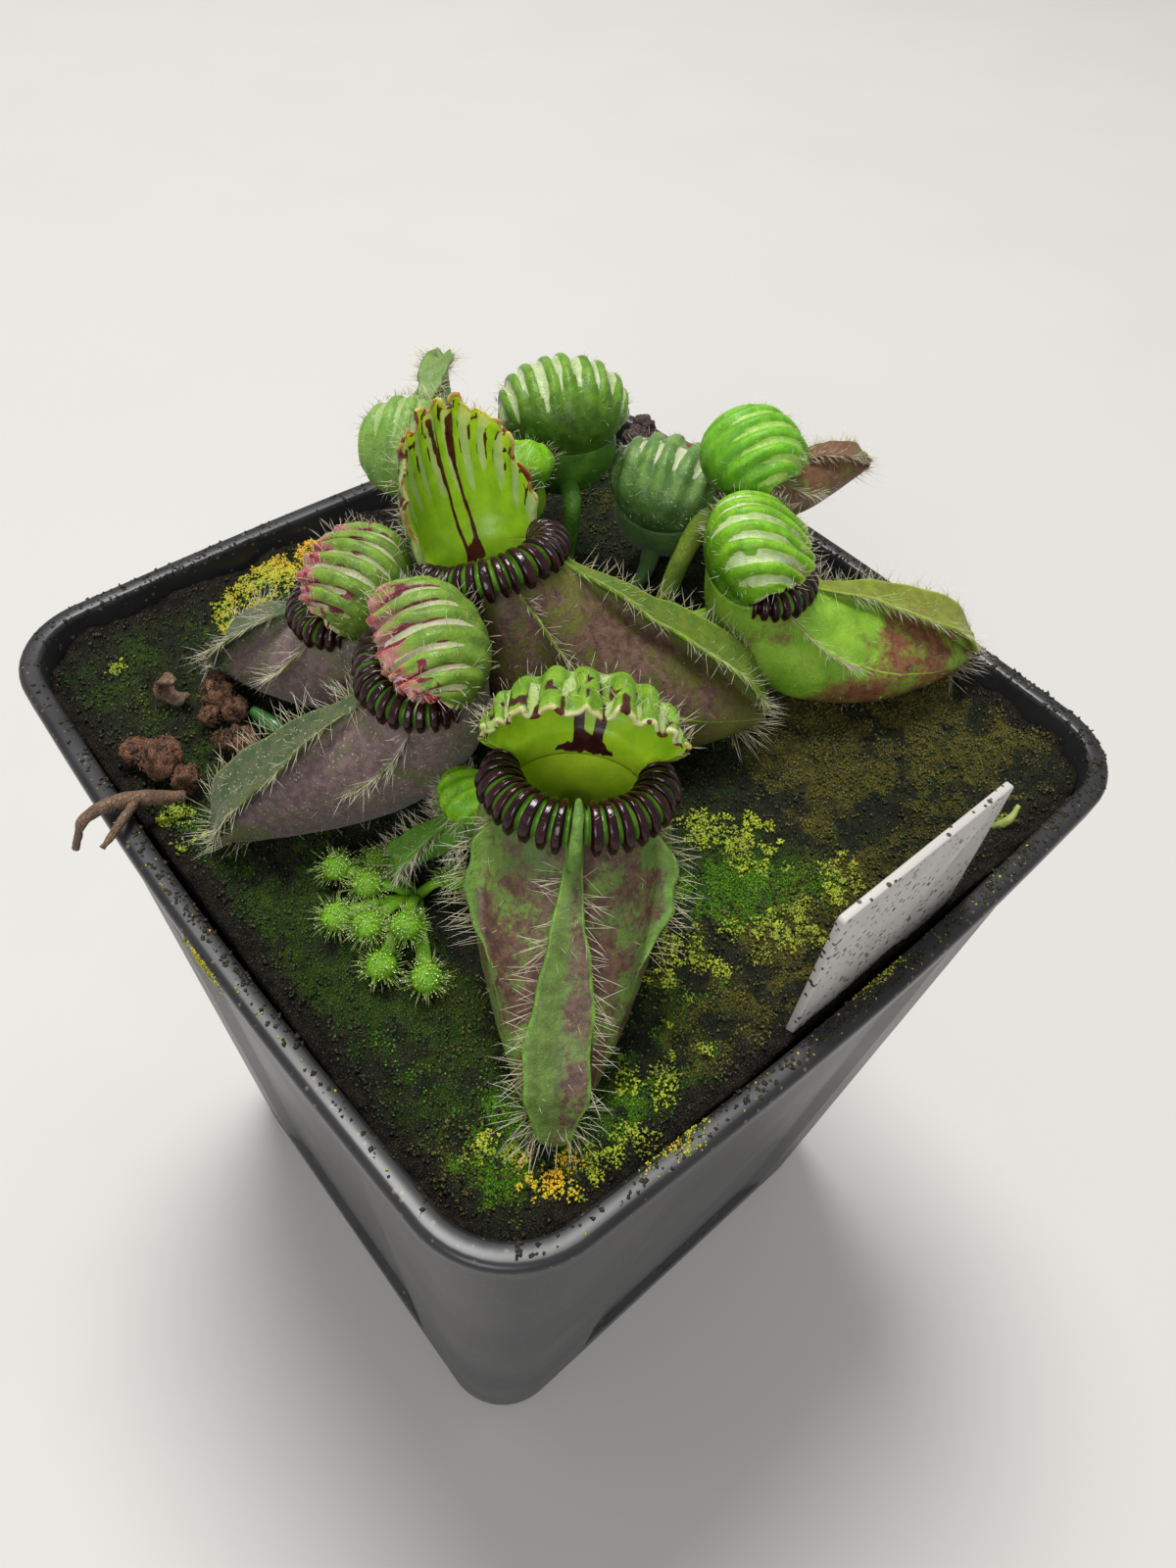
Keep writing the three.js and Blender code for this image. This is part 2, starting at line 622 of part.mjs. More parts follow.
const PITCHERS = [
  {
    ...BIG, name: 'near', at: [-16.4, -19.6, 116.5], heading: -133, pitch: 2, width: 6.9, depth: 5.6,
    length: 22.5, drop: 19, belly: 9.7, swell: [1.15, 0.75], flange: 2.6, lidBack: [-9, 4.6],
    lidFront: [-6.5, 8.8], lidEdge: [0.5, 8.2], foot: [-7, -9],
  },
  {
    ...BIG, name: 'tall', at: [-5.6, 7, 117.4], heading: -44, pitch: 3, roll: -6, length: 29, drop: 22,
    arch: 0.36, toeRise: 3.5, width: 6.6, depth: 6.6, belly: 10.6, swell: [0.75, 1.2],
    flanks: [0.42, 1.1], heel: 1, mouth: [18, 9, -60], lidOver: -0.4, lidBack: [-7.5, 6],
    lidFront: [-6, 14], lidEdge: [-1, 16], foot: [-7, 17],
  },
  {
    ...BIG, name: 'left', at: [-18.6, -1, 115.4], heading: 156, pitch: -4, length: 22, drop: 17.5,
    width: 6.2, depth: 5.2, belly: 7.6, flanks: [0.86, 0.75], heel: 1, rollSize: 0.85,
    cup: 'cupPurple', lid: 'lidRed', lidBack: [-7, 5], lidFront: [-1, 9],
    lidEdge: [4.4, 4.2], foot: [-12, -5],
  },
  {
    ...BIG, name: 'back_left', at: [-17, 13.7, 112.3], heading: 122, pitch: -4, length: 17.5, drop: 14,
    width: 5.6, depth: 5, belly: 7.6, flanks: [1, 0.75], heel: 1, rollSize: 0.85,
    cup: 'cupPurple', lid: 'lidRed', lidOver: 0.6, lidBack: [-6.5, 5.5], lidFront: [-3, 9.5],
    lidEdge: [3.5, 6], foot: [-12, 6],
  },
  {
    ...BIG, name: 'right', at: [21, -5.8, 111], heading: -38, pitch: 0, length: 27, drop: 15.8,
    toeRise: 4.5, width: 6, depth: 5.2, belly: 9.4, flanks: [0.65, 1.15], swell: [0.62, 1.35], arch: 0.3,
    heel: 0.4, cup: 'cupGreen', rollSize: 0.85, ribs: 16, lidOver: 0.7, lidBack: [-8, 8],
    lidFront: [-1, 11.6], lidEdge: [5.2, 4], foot: [12, 2],
  },
  {
    ...YOUNG, name: 'ball_back', at: [17, 22.4, 116], heading: 60, width: 6, depth: 5.6,
    lidBack: [-8.5, 9], lidFront: [6, 12], foot: [11, 14],
  },
  {
    ...YOUNG, name: 'ball_mid', at: [26, 13, 108], heading: 30, width: 5.6, depth: 5.6, pitch: 15,
    lidBack: [-8, 8], lidFront: [6, 11], foot: [17, 9.5],
  },
  {
    ...YOUNG, name: 'stalked', at: [28.8, 3.1, 116.5], heading: -20, width: 4.4, depth: 4.4, pitch: 24,
    length: 13, drop: 8, belly: 5.2, foot: [17.4, 4], bow: 4, stalk: 1.1,
  },
  {
    ...YOUNG, name: 'pale', at: [0.6, 29, 115], heading: 40, width: 4, depth: 4, pitch: 50,
    length: 12, drop: 8, belly: 4.5, foot: [1, 20], lidRidge: 0.18,
  },
  {
    ...YOUNG, name: 'bright', at: [7, 18.4, 115], heading: 70, width: 2.8, depth: 3, length: 6,
    drop: 7, belly: 3.4, lidBack: [-4.6, 4], lidFront: [3, 6.4], lidEdge: [3.2, 0.8], foot: [5.4, 13],
    lidRidge: 0.12,
  },
  {
    ...YOUNG, name: 'baby', at: [-20.3, -9.6, 106.4], heading: 163, pitch: -16, width: 2.1, depth: 2.2,
    length: 8.2, drop: 4.4, belly: 2.6, heel: 0.6, lidOver: 0.6, lidRibs: 5, rollSize: 0.4,
    lidBack: [-3.4, 3], lidFront: [2.6, 5], lidEdge: [2.2, 0.6], foot: [-15, -9.6], stalk: 0.6,
    bow: 1.2, lidRidge: 0.12,
  },
];

function pitcherGroup(p) {
  const group = new THREE.Group();
  group.position.set(...p.at);
  group.rotation.set(radians(p.pitch), radians(p.roll), radians(p.heading - 90), 'ZYX');
  group.updateMatrixWorld();
  return group;
}

function pitcher(given) {
  const p = { ...given, profile: profileOf(given) };
  const group = pitcherGroup(p);
  const mouth = new THREE.Group();
  mouth.quaternion.copy(mouthTurn(p));
  const shell = cupGeometry(p);
  if (p.open) {
    group.position.z += restLift(shell, group);
    group.updateMatrixWorld();
  }
  group.add(namedMesh(`${p.name}_cup`, joined([shell, leafStalk(p, group)]), p.cup));
  if (p.open) mouth.add(namedMesh(`${p.name}_peristome`, peristomeGeometry(p), 'peristome'));
  mouth.add(namedMesh(`${p.name}_lid`, lidGeometry(p), p.lid));
  group.add(mouth);
  return group;
}

// Sundew: a low rosette of round pads on thin stalks, each pad set with short tentacles

const SUNDEW_AT = [-26.6, -9.7];
const SUNDEW_STEM = 0.9;
const SUNDEW_PADS = [
  [-31, -3, 2], [-30, -6.8, 2.6], [-34, -7.6, 1.8], [-32.7, -10.9, 3.2], [-33.6, -14.3, 1.7],
  [-31.2, -17.9, 1.8], [-27.4, -4.6, 1.6], [-23.2, -11.4, 3], [-30.2, -13.4, 3.8],
];
const PAD_RADIUS = 1.3;
const PAD_FLAT = 0.5;
const TENTACLES = 5;

function sundewPad(x, y, height, index) {
  const pad = new THREE.SphereGeometry(PAD_RADIUS, 6, 3);
  pad.rotateX(Math.PI / 2);
  pad.scale(1, 1, PAD_FLAT);
  const pieces = [pad];
  for (let k = 0; k < TENTACLES; k += 1) {
    const angle = (2 * Math.PI * (k + 0.37 * index)) / TENTACLES;
    const tilt = k % 2 === 0 ? 1.3 : 0.75;
    const tentacle = new THREE.ConeGeometry(0.22, 1.7, 3);
    tentacle.translate(0, 1.2 + 0.35, 0);
    tentacle.rotateX(Math.PI / 2);
    tentacle.rotateY(tilt);
    tentacle.rotateZ(angle);
    pieces.push(tentacle);
  }
  for (const piece of pieces) piece.translate(x, y, SOIL_TOP + height);
  return pieces;
}

function sundewGeometry() {
  const base = new THREE.Vector3(...SUNDEW_AT, SOIL_TOP + 0.9);
  const stem = new THREE.CylinderGeometry(SUNDEW_STEM, SUNDEW_STEM, STALK_DEPTH + 1.2, 7);
  stem.rotateX(Math.PI / 2);
  stem.translate(...SUNDEW_AT, SOIL_TOP + 0.6 - STALK_DEPTH / 2);
  const pieces = [stem];
  SUNDEW_PADS.forEach(([x, y, height], index) => {
    const end = new THREE.Vector3(x, y, SOIL_TOP + height);
    const middle = base.clone().lerp(end, 0.5);
    middle.z += 0.8;
    pieces.push(stalk([base, middle, end], [0.5, 0.35, 0.35], 4, 3));
    pieces.push(...sundewPad(x, y, height, index));
  });
  return joined(pieces);
}

// Bits lying on the soil

// Rough lumps stuck together; each is [x, y, height of its middle, radius, detail]
function crumbGeometry(lumps) {
  return joined(lumps.map(([x, y, height, radius, detail]) => {
    const lump = new THREE.IcosahedronGeometry(radius, detail);
    const places = lump.attributes.position;
    const at = new THREE.Vector3();
    for (let i = 0; i < places.count; i += 1) {
      at.fromBufferAttribute(places, i);
      const bump = Math.sin(5 * at.x + x) * Math.sin(4 * at.y + y) * Math.cos(6 * at.z - x);
      at.multiplyScalar(1 + 0.25 * bump);
      places.setXYZ(i, at.x, at.y, at.z);
    }
    lump.translate(x, y, SOIL_TOP + height);
    return lump;
  }));
}

const CRUMBS = {
  crumb_back: [
    [-29.2, 23.6, 2.3, 1.7, 1], [-28.4, 21.2, 2, 1.4, 0], [-28.2, 25.6, 1.9, 1.3, 0],
    [-30.8, 22, 1.8, 1.2, 0],
  ],
  crumb_mid: [[-30.2, 16.8, 2, 1.5, 1], [-29.6, 15, 1.8, 1.1, 0], [-31.4, 18.2, 1.8, 1, 0]],
  crumb_rim: [
    [-38.2, 18.4, 2.9, 2.1, 1], [-37, 15.4, 2.2, 1.5, 0], [-39.4, 21, 2.8, 1.5, 0],
    [-36.6, 20.6, 1.9, 1.3, 0],
  ],
};

// Dry leaf scrap: a thin strip rolled up at one end
function curlGeometry() {
  const rows = [];
  for (let i = 0; i <= 7; i += 1) {
    const angle = radians(mix(200, 480, i / 7));
    const radius = mix(1.7, 1, i / 7);
    const place = (r, x) => new THREE.Vector3(
      x, r * Math.cos(angle), 2.5 + r * Math.sin(angle));
    const half = mix(1.1, 0.5, Math.abs(i - 3) / 4);
    rows.push([
      place(radius + 0.35, -half), place(radius + 0.35, half),
      place(radius - 0.35, half), place(radius - 0.35, -half),
    ]);
  }
  return bladeSolid(rows, 2);
}

// Dry root that hangs over the left rim, with one fork
function rootGeometry() {
  const main = [
    [-38.4, 12.6, -0.6], [-41, 13.4, 0.4], [-44.5, 14.2, 1.3], [-47.4, 14.6, 0.6], [-49, 15, -3],
  ];
  const fork = [[-42.5, 13.8, 0.8], [-45, 11.6, 1.5], [-47.6, 10.4, 0.7]];
  return joined([
    stalk(raised(main, POT_HEIGHT), [0.5, 0.8, 0.7, 0.5, 0.35], 5, 8),
    stalk(raised(fork, POT_HEIGHT), [0.55, 0.5, 0.35], 5, 4),
  ]);
}

function raised(places, height) {
  return places.map(([x, y, z]) => new THREE.Vector3(x, y, z + height));
}

// Shrivelled old pitcher near the back corner, on a stalk of its own
const OLD_FOOT = [33, 24];
const OLD_STALK = 0.7;

function oldPitcherGeometry() {
  const body = crumbGeometry([[37.6, 29.4, 5.6, 2.6, 1], [36, 27.4, 4.2, 1.8, 0], [39.4, 30.8, 7, 1.6, 0]]);
  const places = [[...OLD_FOOT, -STALK_DEPTH], [...OLD_FOOT, 1.4], [34.6, 26, 3.2], [36.4, 28, 4.4]];
  return joined([body, stalk(raised(places, SOIL_TOP), [OLD_STALK, OLD_STALK, OLD_STALK, 0.6], 6, 8)]);
}

// Small glossy leaf at the foot of the back left pitcher
const YOUNG_LEAF_FOOT = [-25.4, 13.6];

function youngLeafGeometry() {
  const foot = [[...YOUNG_LEAF_FOOT, -STALK_DEPTH], [...YOUNG_LEAF_FOOT, 0.8]];
  const places = [...foot, [-26.4, 16, 2.2], [-27.2, 19.4, 2.4]];
  return stalk(raised(places, SOIL_TOP), [0.7, 0.9, 1, 0.6], 7, 9);
}

// Pale sprout beside the front right rim
const SPROUT_FOOT = [26, -39.4];

function sproutGeometry() {
  const places = [[...SPROUT_FOOT, -3], [...SPROUT_FOOT, 0.6], [26.6, -40.2, 2.6], [27.8, -40, 3.6]];
  return stalk(raised(places, SOIL_TOP), [0.5, 0.5, 0.45, 0.3], 6, 7);
}

function soilHoles() {
  return [
    ...PITCHERS.map((p) => soilHole(...p.foot, p.stalk)),
    soilHole(...SUNDEW_AT, SUNDEW_STEM),
    soilHole(...OLD_FOOT, OLD_STALK),
    soilHole(...YOUNG_LEAF_FOOT, 0.9),
    soilHole(...SPROUT_FOOT, 0.5),
  ];
}

function curlMesh() {
  const curl = namedMesh('dry_curl', curlGeometry(), 'dryLeaf');
  curl.position.set(-32.4, 27.4, SOIL_TOP);
  curl.rotation.z = radians(25);
  return curl;
}

const root = new THREE.Group();
root.add(namedMesh('pot', potGeometry(), 'pot'));
root.add(namedMesh('soil', soilGeometry(), 'soil'));
root.add(tagMesh());
for (const p of PITCHERS) root.add(pitcher(p));
root.add(namedMesh('sundew', sundewGeometry(), 'sundew'));
for (const [name, lumps] of Object.entries(CRUMBS)) {
  root.add(namedMesh(name, crumbGeometry(lumps), 'crumb'));
}
root.add(curlMesh());
root.add(namedMesh('dry_root', rootGeometry(), 'dryLeaf'));
root.add(namedMesh('dry_pitcher', oldPitcherGeometry(), 'dryLeaf'));
root.add(namedMesh('young_leaf', youngLeafGeometry(), 'youngGreen'));
root.add(namedMesh('sprout', sproutGeometry(), 'lidGreen'));

export default root;
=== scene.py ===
"""Albany pitcher plant in a square nursery pot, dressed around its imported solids.

The pitchers, the soil, the sundew and the debris of the model are each replaced by a finer piece of the
same form, with ribs, wings, hairs, moss and colour. Lengths in this file are in millimetres until a mesh
is made.
"""

import math
from itertools import product

import bpy
import numpy as np
from mathutils import Matrix, Vector


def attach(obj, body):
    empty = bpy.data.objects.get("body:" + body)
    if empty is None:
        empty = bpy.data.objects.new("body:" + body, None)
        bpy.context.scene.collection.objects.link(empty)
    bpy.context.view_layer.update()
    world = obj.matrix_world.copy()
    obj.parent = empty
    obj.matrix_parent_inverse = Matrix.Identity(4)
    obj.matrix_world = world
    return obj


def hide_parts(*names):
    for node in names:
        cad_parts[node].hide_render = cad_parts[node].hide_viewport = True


bl_info = {
    "name": "Albany Pitcher Plant",
    "version": (1, 0, 0),
    "blender": (4, 5, 0),
    "location": "3D View > Sidebar > Pitcher Plant",
    "description": "Builds a potted albany pitcher plant around its solids",
    "category": "Add Mesh",
}

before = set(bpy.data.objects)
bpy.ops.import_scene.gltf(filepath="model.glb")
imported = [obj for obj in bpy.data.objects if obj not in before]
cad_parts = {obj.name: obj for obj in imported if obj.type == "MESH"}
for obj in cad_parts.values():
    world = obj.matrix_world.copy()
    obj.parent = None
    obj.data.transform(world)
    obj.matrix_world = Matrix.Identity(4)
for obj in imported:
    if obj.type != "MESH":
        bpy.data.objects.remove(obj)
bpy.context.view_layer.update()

MM = 0.001

# Pot and soil, as in the solids
POT_HEIGHT = 100
RIM_HALF = 45
BASE_HALF = 33.5
RIM_CORNER = 9.1
BASE_CORNER = 8.7
WALL = 1.2
FLOOR = 1.6
LIP_HEIGHT = 3
LIP_OUT = 1.2
SIDE_BOW = 1.1
PANEL_DEPTH = 1
PANEL_LOW = 7
PANEL_HIGH = 86
PANEL_FADE = 1.5
PANEL_SHARE = 0.6
DRAIN_RADIUS = 3
DRAIN_OUT = 19
SOIL_TOP = 96.4
SOIL_CROWN = 87.6
GAP = 0.3
STALK_DEPTH = 4

# Pitcher sections
CUP_WALL = 0.9
LID_THICK = 0.75
HEEL_SHARE = 0.62
WING_ANGLE = 60
KEEL_STEM = 0.55
KEEL_THICK = 0.8
THROAT_END = 0.42
MOUTH_BLEND = 0.5
STALK_STATION = 0.24
LID_ROOT_SPREAD = 70
LID_ROOT_HEIGHT = 0.7
LID_CORNER_RISE = (0.45, 1, 1.5)
LID_CORNER_START = 0.85

BIG = dict(
    open=True, width=7.4, depth=6, length=22, drop=18, toeRise=0, arch=0.5, belly=9, heel=2.5,
    wing=1.7, keel=2.4, flange=2.9, ribs=24, sweep=102, rollSize=1, mouth=(0, 0, 0),
    lidOver=1.2, lidRibs=9, lidWave=0.5, lidRidge=0.2, pitch=0, roll=0,
    lidBack=(-9.5, 6), lidFront=(-8, 13), lidEdge=(0, 9), stalk=1, bow=3, flanks=(1, 1), swell=(1.3, 0.5),
    cap=False, fork=0,
)
YOUNG = dict(
    BIG, open=False, width=5.6, depth=5, length=12, drop=10, belly=6, heel=2, wing=0.8, keel=1.5,
    flange=1.6, rollSize=0.6, lidRibs=7, lidWave=0.1, lidRidge=0.25, lidBack=(-8.5, 7),
    lidFront=(6, 10), lidEdge=(6, 0.8), stalk=0.8,
)

# Places of the mouths are those the solids come to rest at
OPEN_PITCHERS = [
    dict(BIG, name="near", at=(-16.4, -19.6, 116.56), heading=-133, pitch=2, width=6.9, depth=5.6,
         length=22.5, drop=19, belly=9.7, swell=(1.15, 0.75), flange=2.6, lidBack=(-9, 4.6),
         lidFront=(-6.5, 8.8), lidEdge=(0.5, 8.2), foot=(-7, -9), ribs=20, cap=True,
         skin="bronze", lid="speckled"),
    dict(BIG, name="tall", at=(-5.6, 7, 117.2), heading=-44, pitch=3, roll=-6, length=29, drop=22,
         arch=0.36, toeRise=3.5, width=6.6, depth=6.6, belly=10.6, swell=(0.75, 1.2),
         flanks=(0.42, 1.1), heel=1, mouth=(18, 9, -60), lidOver=-0.4, lidBack=(-7.5, 6),
         lidFront=(-6, 14), lidEdge=(-1, 16), foot=(-7, 17), ribs=20,
         skin="umber", lid="lined"),
    dict(BIG, name="left", at=(-18.6, -1, 116.22), heading=156, pitch=-4, length=22, drop=17.5,
         width=6.2, depth=5.2, belly=7.6, flanks=(0.86, 0.75), heel=1, rollSize=0.85,
         lidBack=(-7, 5), lidFront=(-1, 9), lidEdge=(4.4, 4.2), foot=(-12, -5), ribs=20,
         skin="purple", lid="rosy"),
    dict(BIG, name="back_left", at=(-17, 13.7, 112.59), heading=122, pitch=-4, length=17.5, drop=14,
         width=5.6, depth=5, belly=7.6, flanks=(1, 0.75), heel=1, rollSize=0.85, lidOver=0.6,
         lidBack=(-6.5, 5.5), lidFront=(-3, 9.5), lidEdge=(3.5, 6), foot=(-12, 6), ribs=20,
         skin="purple", lid="rosy"),
    dict(BIG, name="right", at=(21, -5.8, 111.27), heading=-38, length=27, drop=15.8, toeRise=4.5,
         width=6, depth=5.2, belly=9.4, flanks=(0.65, 1.15), swell=(0.62, 1.35), arch=0.3, heel=0.4,
         rollSize=0.85, ribs=18, lidOver=0.7, lidBack=(-8, 8), lidFront=(-1, 11.6),
         lidEdge=(5.2, 4), foot=(12, 2), skin="bright", lid="banded"),
]
YOUNG_PITCHERS = [
    dict(YOUNG, name="ball_back", at=(17, 22.4, 116), heading=60, width=6, depth=5.6,
         lidBack=(-8.5, 9), lidFront=(6, 12), foot=(11, 14), skin="leaf", lid="striped"),
    dict(YOUNG, name="ball_mid", at=(26, 13, 108), heading=30, width=5.6, depth=5.6, pitch=15,
         lidBack=(-8, 8), lidFront=(6, 11), foot=(17, 9.5), skin="blue", lid="blushed"),
    dict(YOUNG, name="stalked", at=(28.8, 3.1, 116.5), heading=-20, width=4.4, depth=4.4, pitch=24,
         length=13, drop=8, belly=5.2, foot=(17.4, 4), bow=4, stalk=1.1, skin="rust", lid="fresh"),
    dict(YOUNG, name="pale", at=(0.6, 29, 115), heading=40, width=4, depth=4, pitch=50,
         length=12, drop=8, belly=4.5, foot=(1, 20), lidRidge=0.18, fork=2.4, skin="soft", lid="faint"),
    dict(YOUNG, name="bright", at=(7, 18.4, 115), heading=70, width=2.8, depth=3, length=6,
         drop=7, belly=3.4, lidBack=(-4.6, 4), lidFront=(3, 6.4), lidEdge=(3.2, 0.8),
         foot=(5.4, 13), lidRidge=0.05, skin="lime", lid="plain"),
    dict(YOUNG, name="baby", at=(-20.3, -9.6, 106.4), heading=163, pitch=-16, width=2.1, depth=2.2,
         length=8.2, drop=4.4, belly=2.6, heel=0.6, lidOver=0.6, lidRibs=5, rollSize=0.4,
         lidBack=(-3.4, 3), lidFront=(2.6, 5), lidEdge=(2.2, 0.6), foot=(-15, -9.6), stalk=0.6,
         bow=1.2, lidRidge=0.12, skin="leaf", lid="plain"),
]

TAG_FROM = (-9, -41.3, 87.5)
TAG_SIZE = (23, 0.8, 28.5)
TAG_LEAN = 2.3

SUNDEW_AT = (-26.6, -9.7)
SUNDEW_PADS = [
    (-31, -3, 2), (-30, -6.8, 2.6), (-34, -7.6, 1.8), (-32.7, -10.9, 3.2), (-33.6, -14.3, 1.7),
    (-31.2, -17.9, 1.8), (-27.4, -4.6, 1.6), (-23.2, -11.4, 3), (-30.2, -13.4, 3.8),
]
PAD_RADIUS = 1.45
TENTACLES = 190

CRUMBS = {
    "crumb_back": [(-29.2, 23.6, 2.3, 1.7), (-28.4, 21.2, 2, 1.4), (-28.2, 25.6, 1.9, 1.3),
                   (-30.8, 22, 1.8, 1.2)],
    "crumb_mid": [(-30.2, 16.8, 2, 1.5), (-29.6, 15, 1.8, 1.1), (-31.4, 18.2, 1.8, 1)],
    "crumb_rim": [(-38.2, 18.4, 2.9, 2.1), (-37, 15.4, 2.2, 1.5), (-39.4, 21, 2.8, 1.5),
                  (-36.6, 20.6, 1.9, 1.3)],
}
CRUMB_FIBRES = 110


# Numbers along curves

def mix(a, b, t):
    return a + (b - a) * t


def smooth(low, high, t):
    u = np.clip((np.asarray(t, float) - low) / (high - low), 0, 1)
    return u * u * (3 - 2 * u)


def bezier(c, t):
    s = 1 - t
    return s**3 * c[0] + 3 * s * s * t * c[1] + 3 * s * t * t * c[2] + t**3 * c[3]


def unit(vectors):
    return vectors / np.maximum(np.linalg.norm(vectors, axis=-1, keepdims=True), 1e-9)


def spin(axis, degrees):
    """Matrix of a turn about x, y or z"""
    c, s = math.cos(math.radians(degrees)), math.sin(math.radians(degrees))
    i, j = {"x": (1, 2), "y": (2, 0), "z": (0, 1)}[axis]
    m = np.eye(3)
    m[i, i], m[i, j], m[j, i], m[j, j] = c, -s, s, c
    return m


def value_noise(points, size, seed=0):
    """Smooth noise from -1 to 1 with lumps of the given size"""
    q = np.asarray(points, float) / size
    base = np.floor(q)
    f = q - base
    f = f * f * (3 - 2 * f)
    total = 0
    for corner in product((0, 1), repeat=3):
        h = np.sin((base + corner) @ np.array([12.9898, 78.233, 37.719]) + 11.3 * seed) * 43758.5453
        weight = np.prod(np.where(np.array(corner) > 0, f, 1 - f), axis=-1)
        total = total + (h - np.floor(h)) * weight
    return 2 * total - 1


def noise_at(seed, x, y, z=0.0, size=1.0):
    return value_noise(np.stack(np.broadcast_arrays(x, y, z), -1), size, seed)


def fractal(points, size, octaves=3, seed=0):
    return sum(value_noise(points, size / 2**k, seed + k) / 2**k for k in range(octaves)) / 1.75


# Shells: points in millimetres, faces, marks that the materials read, and material slots

class Shell:
    def __init__(self):
        self.points, self.marks, self.faces, self.slots = [], [], [], []
        self.count = 0

    def add(self, points, faces, marks=None, slots=0):
        points = np.asarray(points, float).reshape(-1, 3)
        self.points.append(points)
        self.marks.append(np.zeros((len(points), 4)) if marks is None else marks.reshape(-1, 4))
        self.faces += [block + self.count for block in faces]
        self.slots.append(np.broadcast_to(slots, sum(len(block) for block in faces)))
        self.count += len(points)

    def mesh(self, name):
        mesh = bpy.data.meshes.new(name)
        faces = [f for block in self.faces for f in block.tolist()]
        mesh.from_pydata((np.concatenate(self.points) * MM).tolist(), [], faces)
        return mesh


def grid_faces(rows, cols, wrap=False):
    r, c = np.meshgrid(np.arange(rows - 1), np.arange(cols if wrap else cols - 1), indexing="ij")
    a = r * cols + c
    b = r * cols + (c + 1) % cols
    return np.stack([a, b, b + cols, a + cols], -1).reshape(-1, 4)


def fan_faces(ring, pole, flip=False):
    after = np.roll(ring, -1)
    order = (after, ring) if flip else (ring, after)
    return np.stack([*order, np.full(len(ring), pole)], -1)


def skin_faces(rows, cols):
    """A closed skin over rings with a pole at either end: the poles are the last two points"""
    n = rows * cols
    ring = np.arange(cols)
    return [grid_faces(rows, cols, wrap=True), fan_faces(ring, n, flip=True),
            fan_faces(ring + (rows - 1) * cols, n + 1)]


def outward(points, faces):
    """Turns every face over where the closed shape is inside out"""
    volume = 0
    for block in faces:
        for k in range(1, block.shape[1] - 1):
            a, b, c = points[block[:, 0]], points[block[:, k]], points[block[:, k + 1]]
            volume += np.einsum("ij,ij->i", a, np.cross(b, c)).sum()
    return [block[:, ::-1] for block in faces] if volume < 0 else faces


def make_piece(name, shell, materials, replaces=()):
    mesh = shell.mesh(name)
    marks = mesh.attributes.new("marks", "FLOAT_COLOR", "POINT")
    marks.data.foreach_set("color", np.concatenate(shell.marks).ravel())
    for material in materials:
        mesh.materials.append(material)
    mesh.polygons.foreach_set("material_index", np.concatenate(shell.slots).astype(np.int32))
    mesh.polygons.foreach_set("use_smooth", np.ones(len(mesh.polygons), bool))
    mesh.update()
    piece = bpy.data.objects.new(name, mesh)
    bpy.context.scene.collection.objects.link(piece)
    if replaces:
        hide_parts(*replaces)
    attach(piece, "root")
    return piece


def spline(places, count):
    """Evenly spaced points on a centripetal Catmull-Rom curve"""
    p = np.asarray(places, float)
    p = np.vstack([2 * p[0] - p[1], p, 2 * p[-1] - p[-2]])
    fine = []
    for i in range(1, len(p) - 2):
        t = np.concatenate([[0], np.cumsum(np.linalg.norm(np.diff(p[i - 1:i + 3], axis=0), axis=1)**0.5)])
        x = np.linspace(t[1], t[2], 24, endpoint=False)[:, None]
        a = [(t[k + 1] - x) / (t[k + 1] - t[k]) * p[i - 1 + k] + (x - t[k]) / (t[k + 1] - t[k]) * p[i + k]
             for k in range(3)]
        b = [(t[k + 2] - x) / (t[k + 2] - t[k]) * a[k] + (x - t[k]) / (t[k + 2] - t[k]) * a[k + 1]
             for k in range(2)]
        fine.append((t[2] - x) / (t[2] - t[1]) * b[0] + (x - t[1]) / (t[2] - t[1]) * b[1])
    fine = np.vstack([*fine, p[-2:-1]])
    run = np.concatenate([[0], np.cumsum(np.linalg.norm(np.diff(fine, axis=0), axis=1))])
    want = np.linspace(0, run[-1], count)
    return np.stack([np.interp(want, run, fine[:, k]) for k in range(3)], -1)


def tube(places, radii, sides, count, rough=0.0, seed=0):
    """Points and faces of a round stalk with closed ends"""
    line = spline(places, count)
    along = unit(np.gradient(line, axis=0))
    side = np.cross(along[0], [0.31, 0.22, 0.92])
    rings = []
    radius = np.interp(np.linspace(0, 1, count), np.linspace(0, 1, len(radii)), radii)
    angle = np.linspace(0, 2 * np.pi, sides, endpoint=False)
    for middle, ahead, r in zip(line, along, radius):
        side = unit(side - ahead * (side @ ahead))
        other = np.cross(ahead, side)
        rings.append(middle + r * (np.cos(angle)[:, None] * side + np.sin(angle)[:, None] * other))
    points = np.concatenate(rings)
    if rough:
        points += rough * value_noise(points, 0.8, seed)[:, None] * unit(
            points - np.repeat(line, sides, axis=0))
    points = np.vstack([points, line[0], line[-1]])
    return points, outward(points, skin_faces(count, sides))


def ball(radius, rings, sides):
    """A small round body as points and faces"""
    angle = np.linspace(0, 2 * np.pi, sides, endpoint=False)
    tilt = np.linspace(0, np.pi, rings + 2)[1:-1]
    points = [[math.sin(t) * math.cos(a), math.sin(t) * math.sin(a), math.cos(t)]
              for t in tilt for a in angle]
    points = radius * np.array(points + [[0, 0, 1], [0, 0, -1]])
    return points, outward(points, skin_faces(rings, sides))


# Hairs: thin tapering bent strands, each a closed three-sided spike

HAIR_STATIONS = (0, 0.3, 0.65)


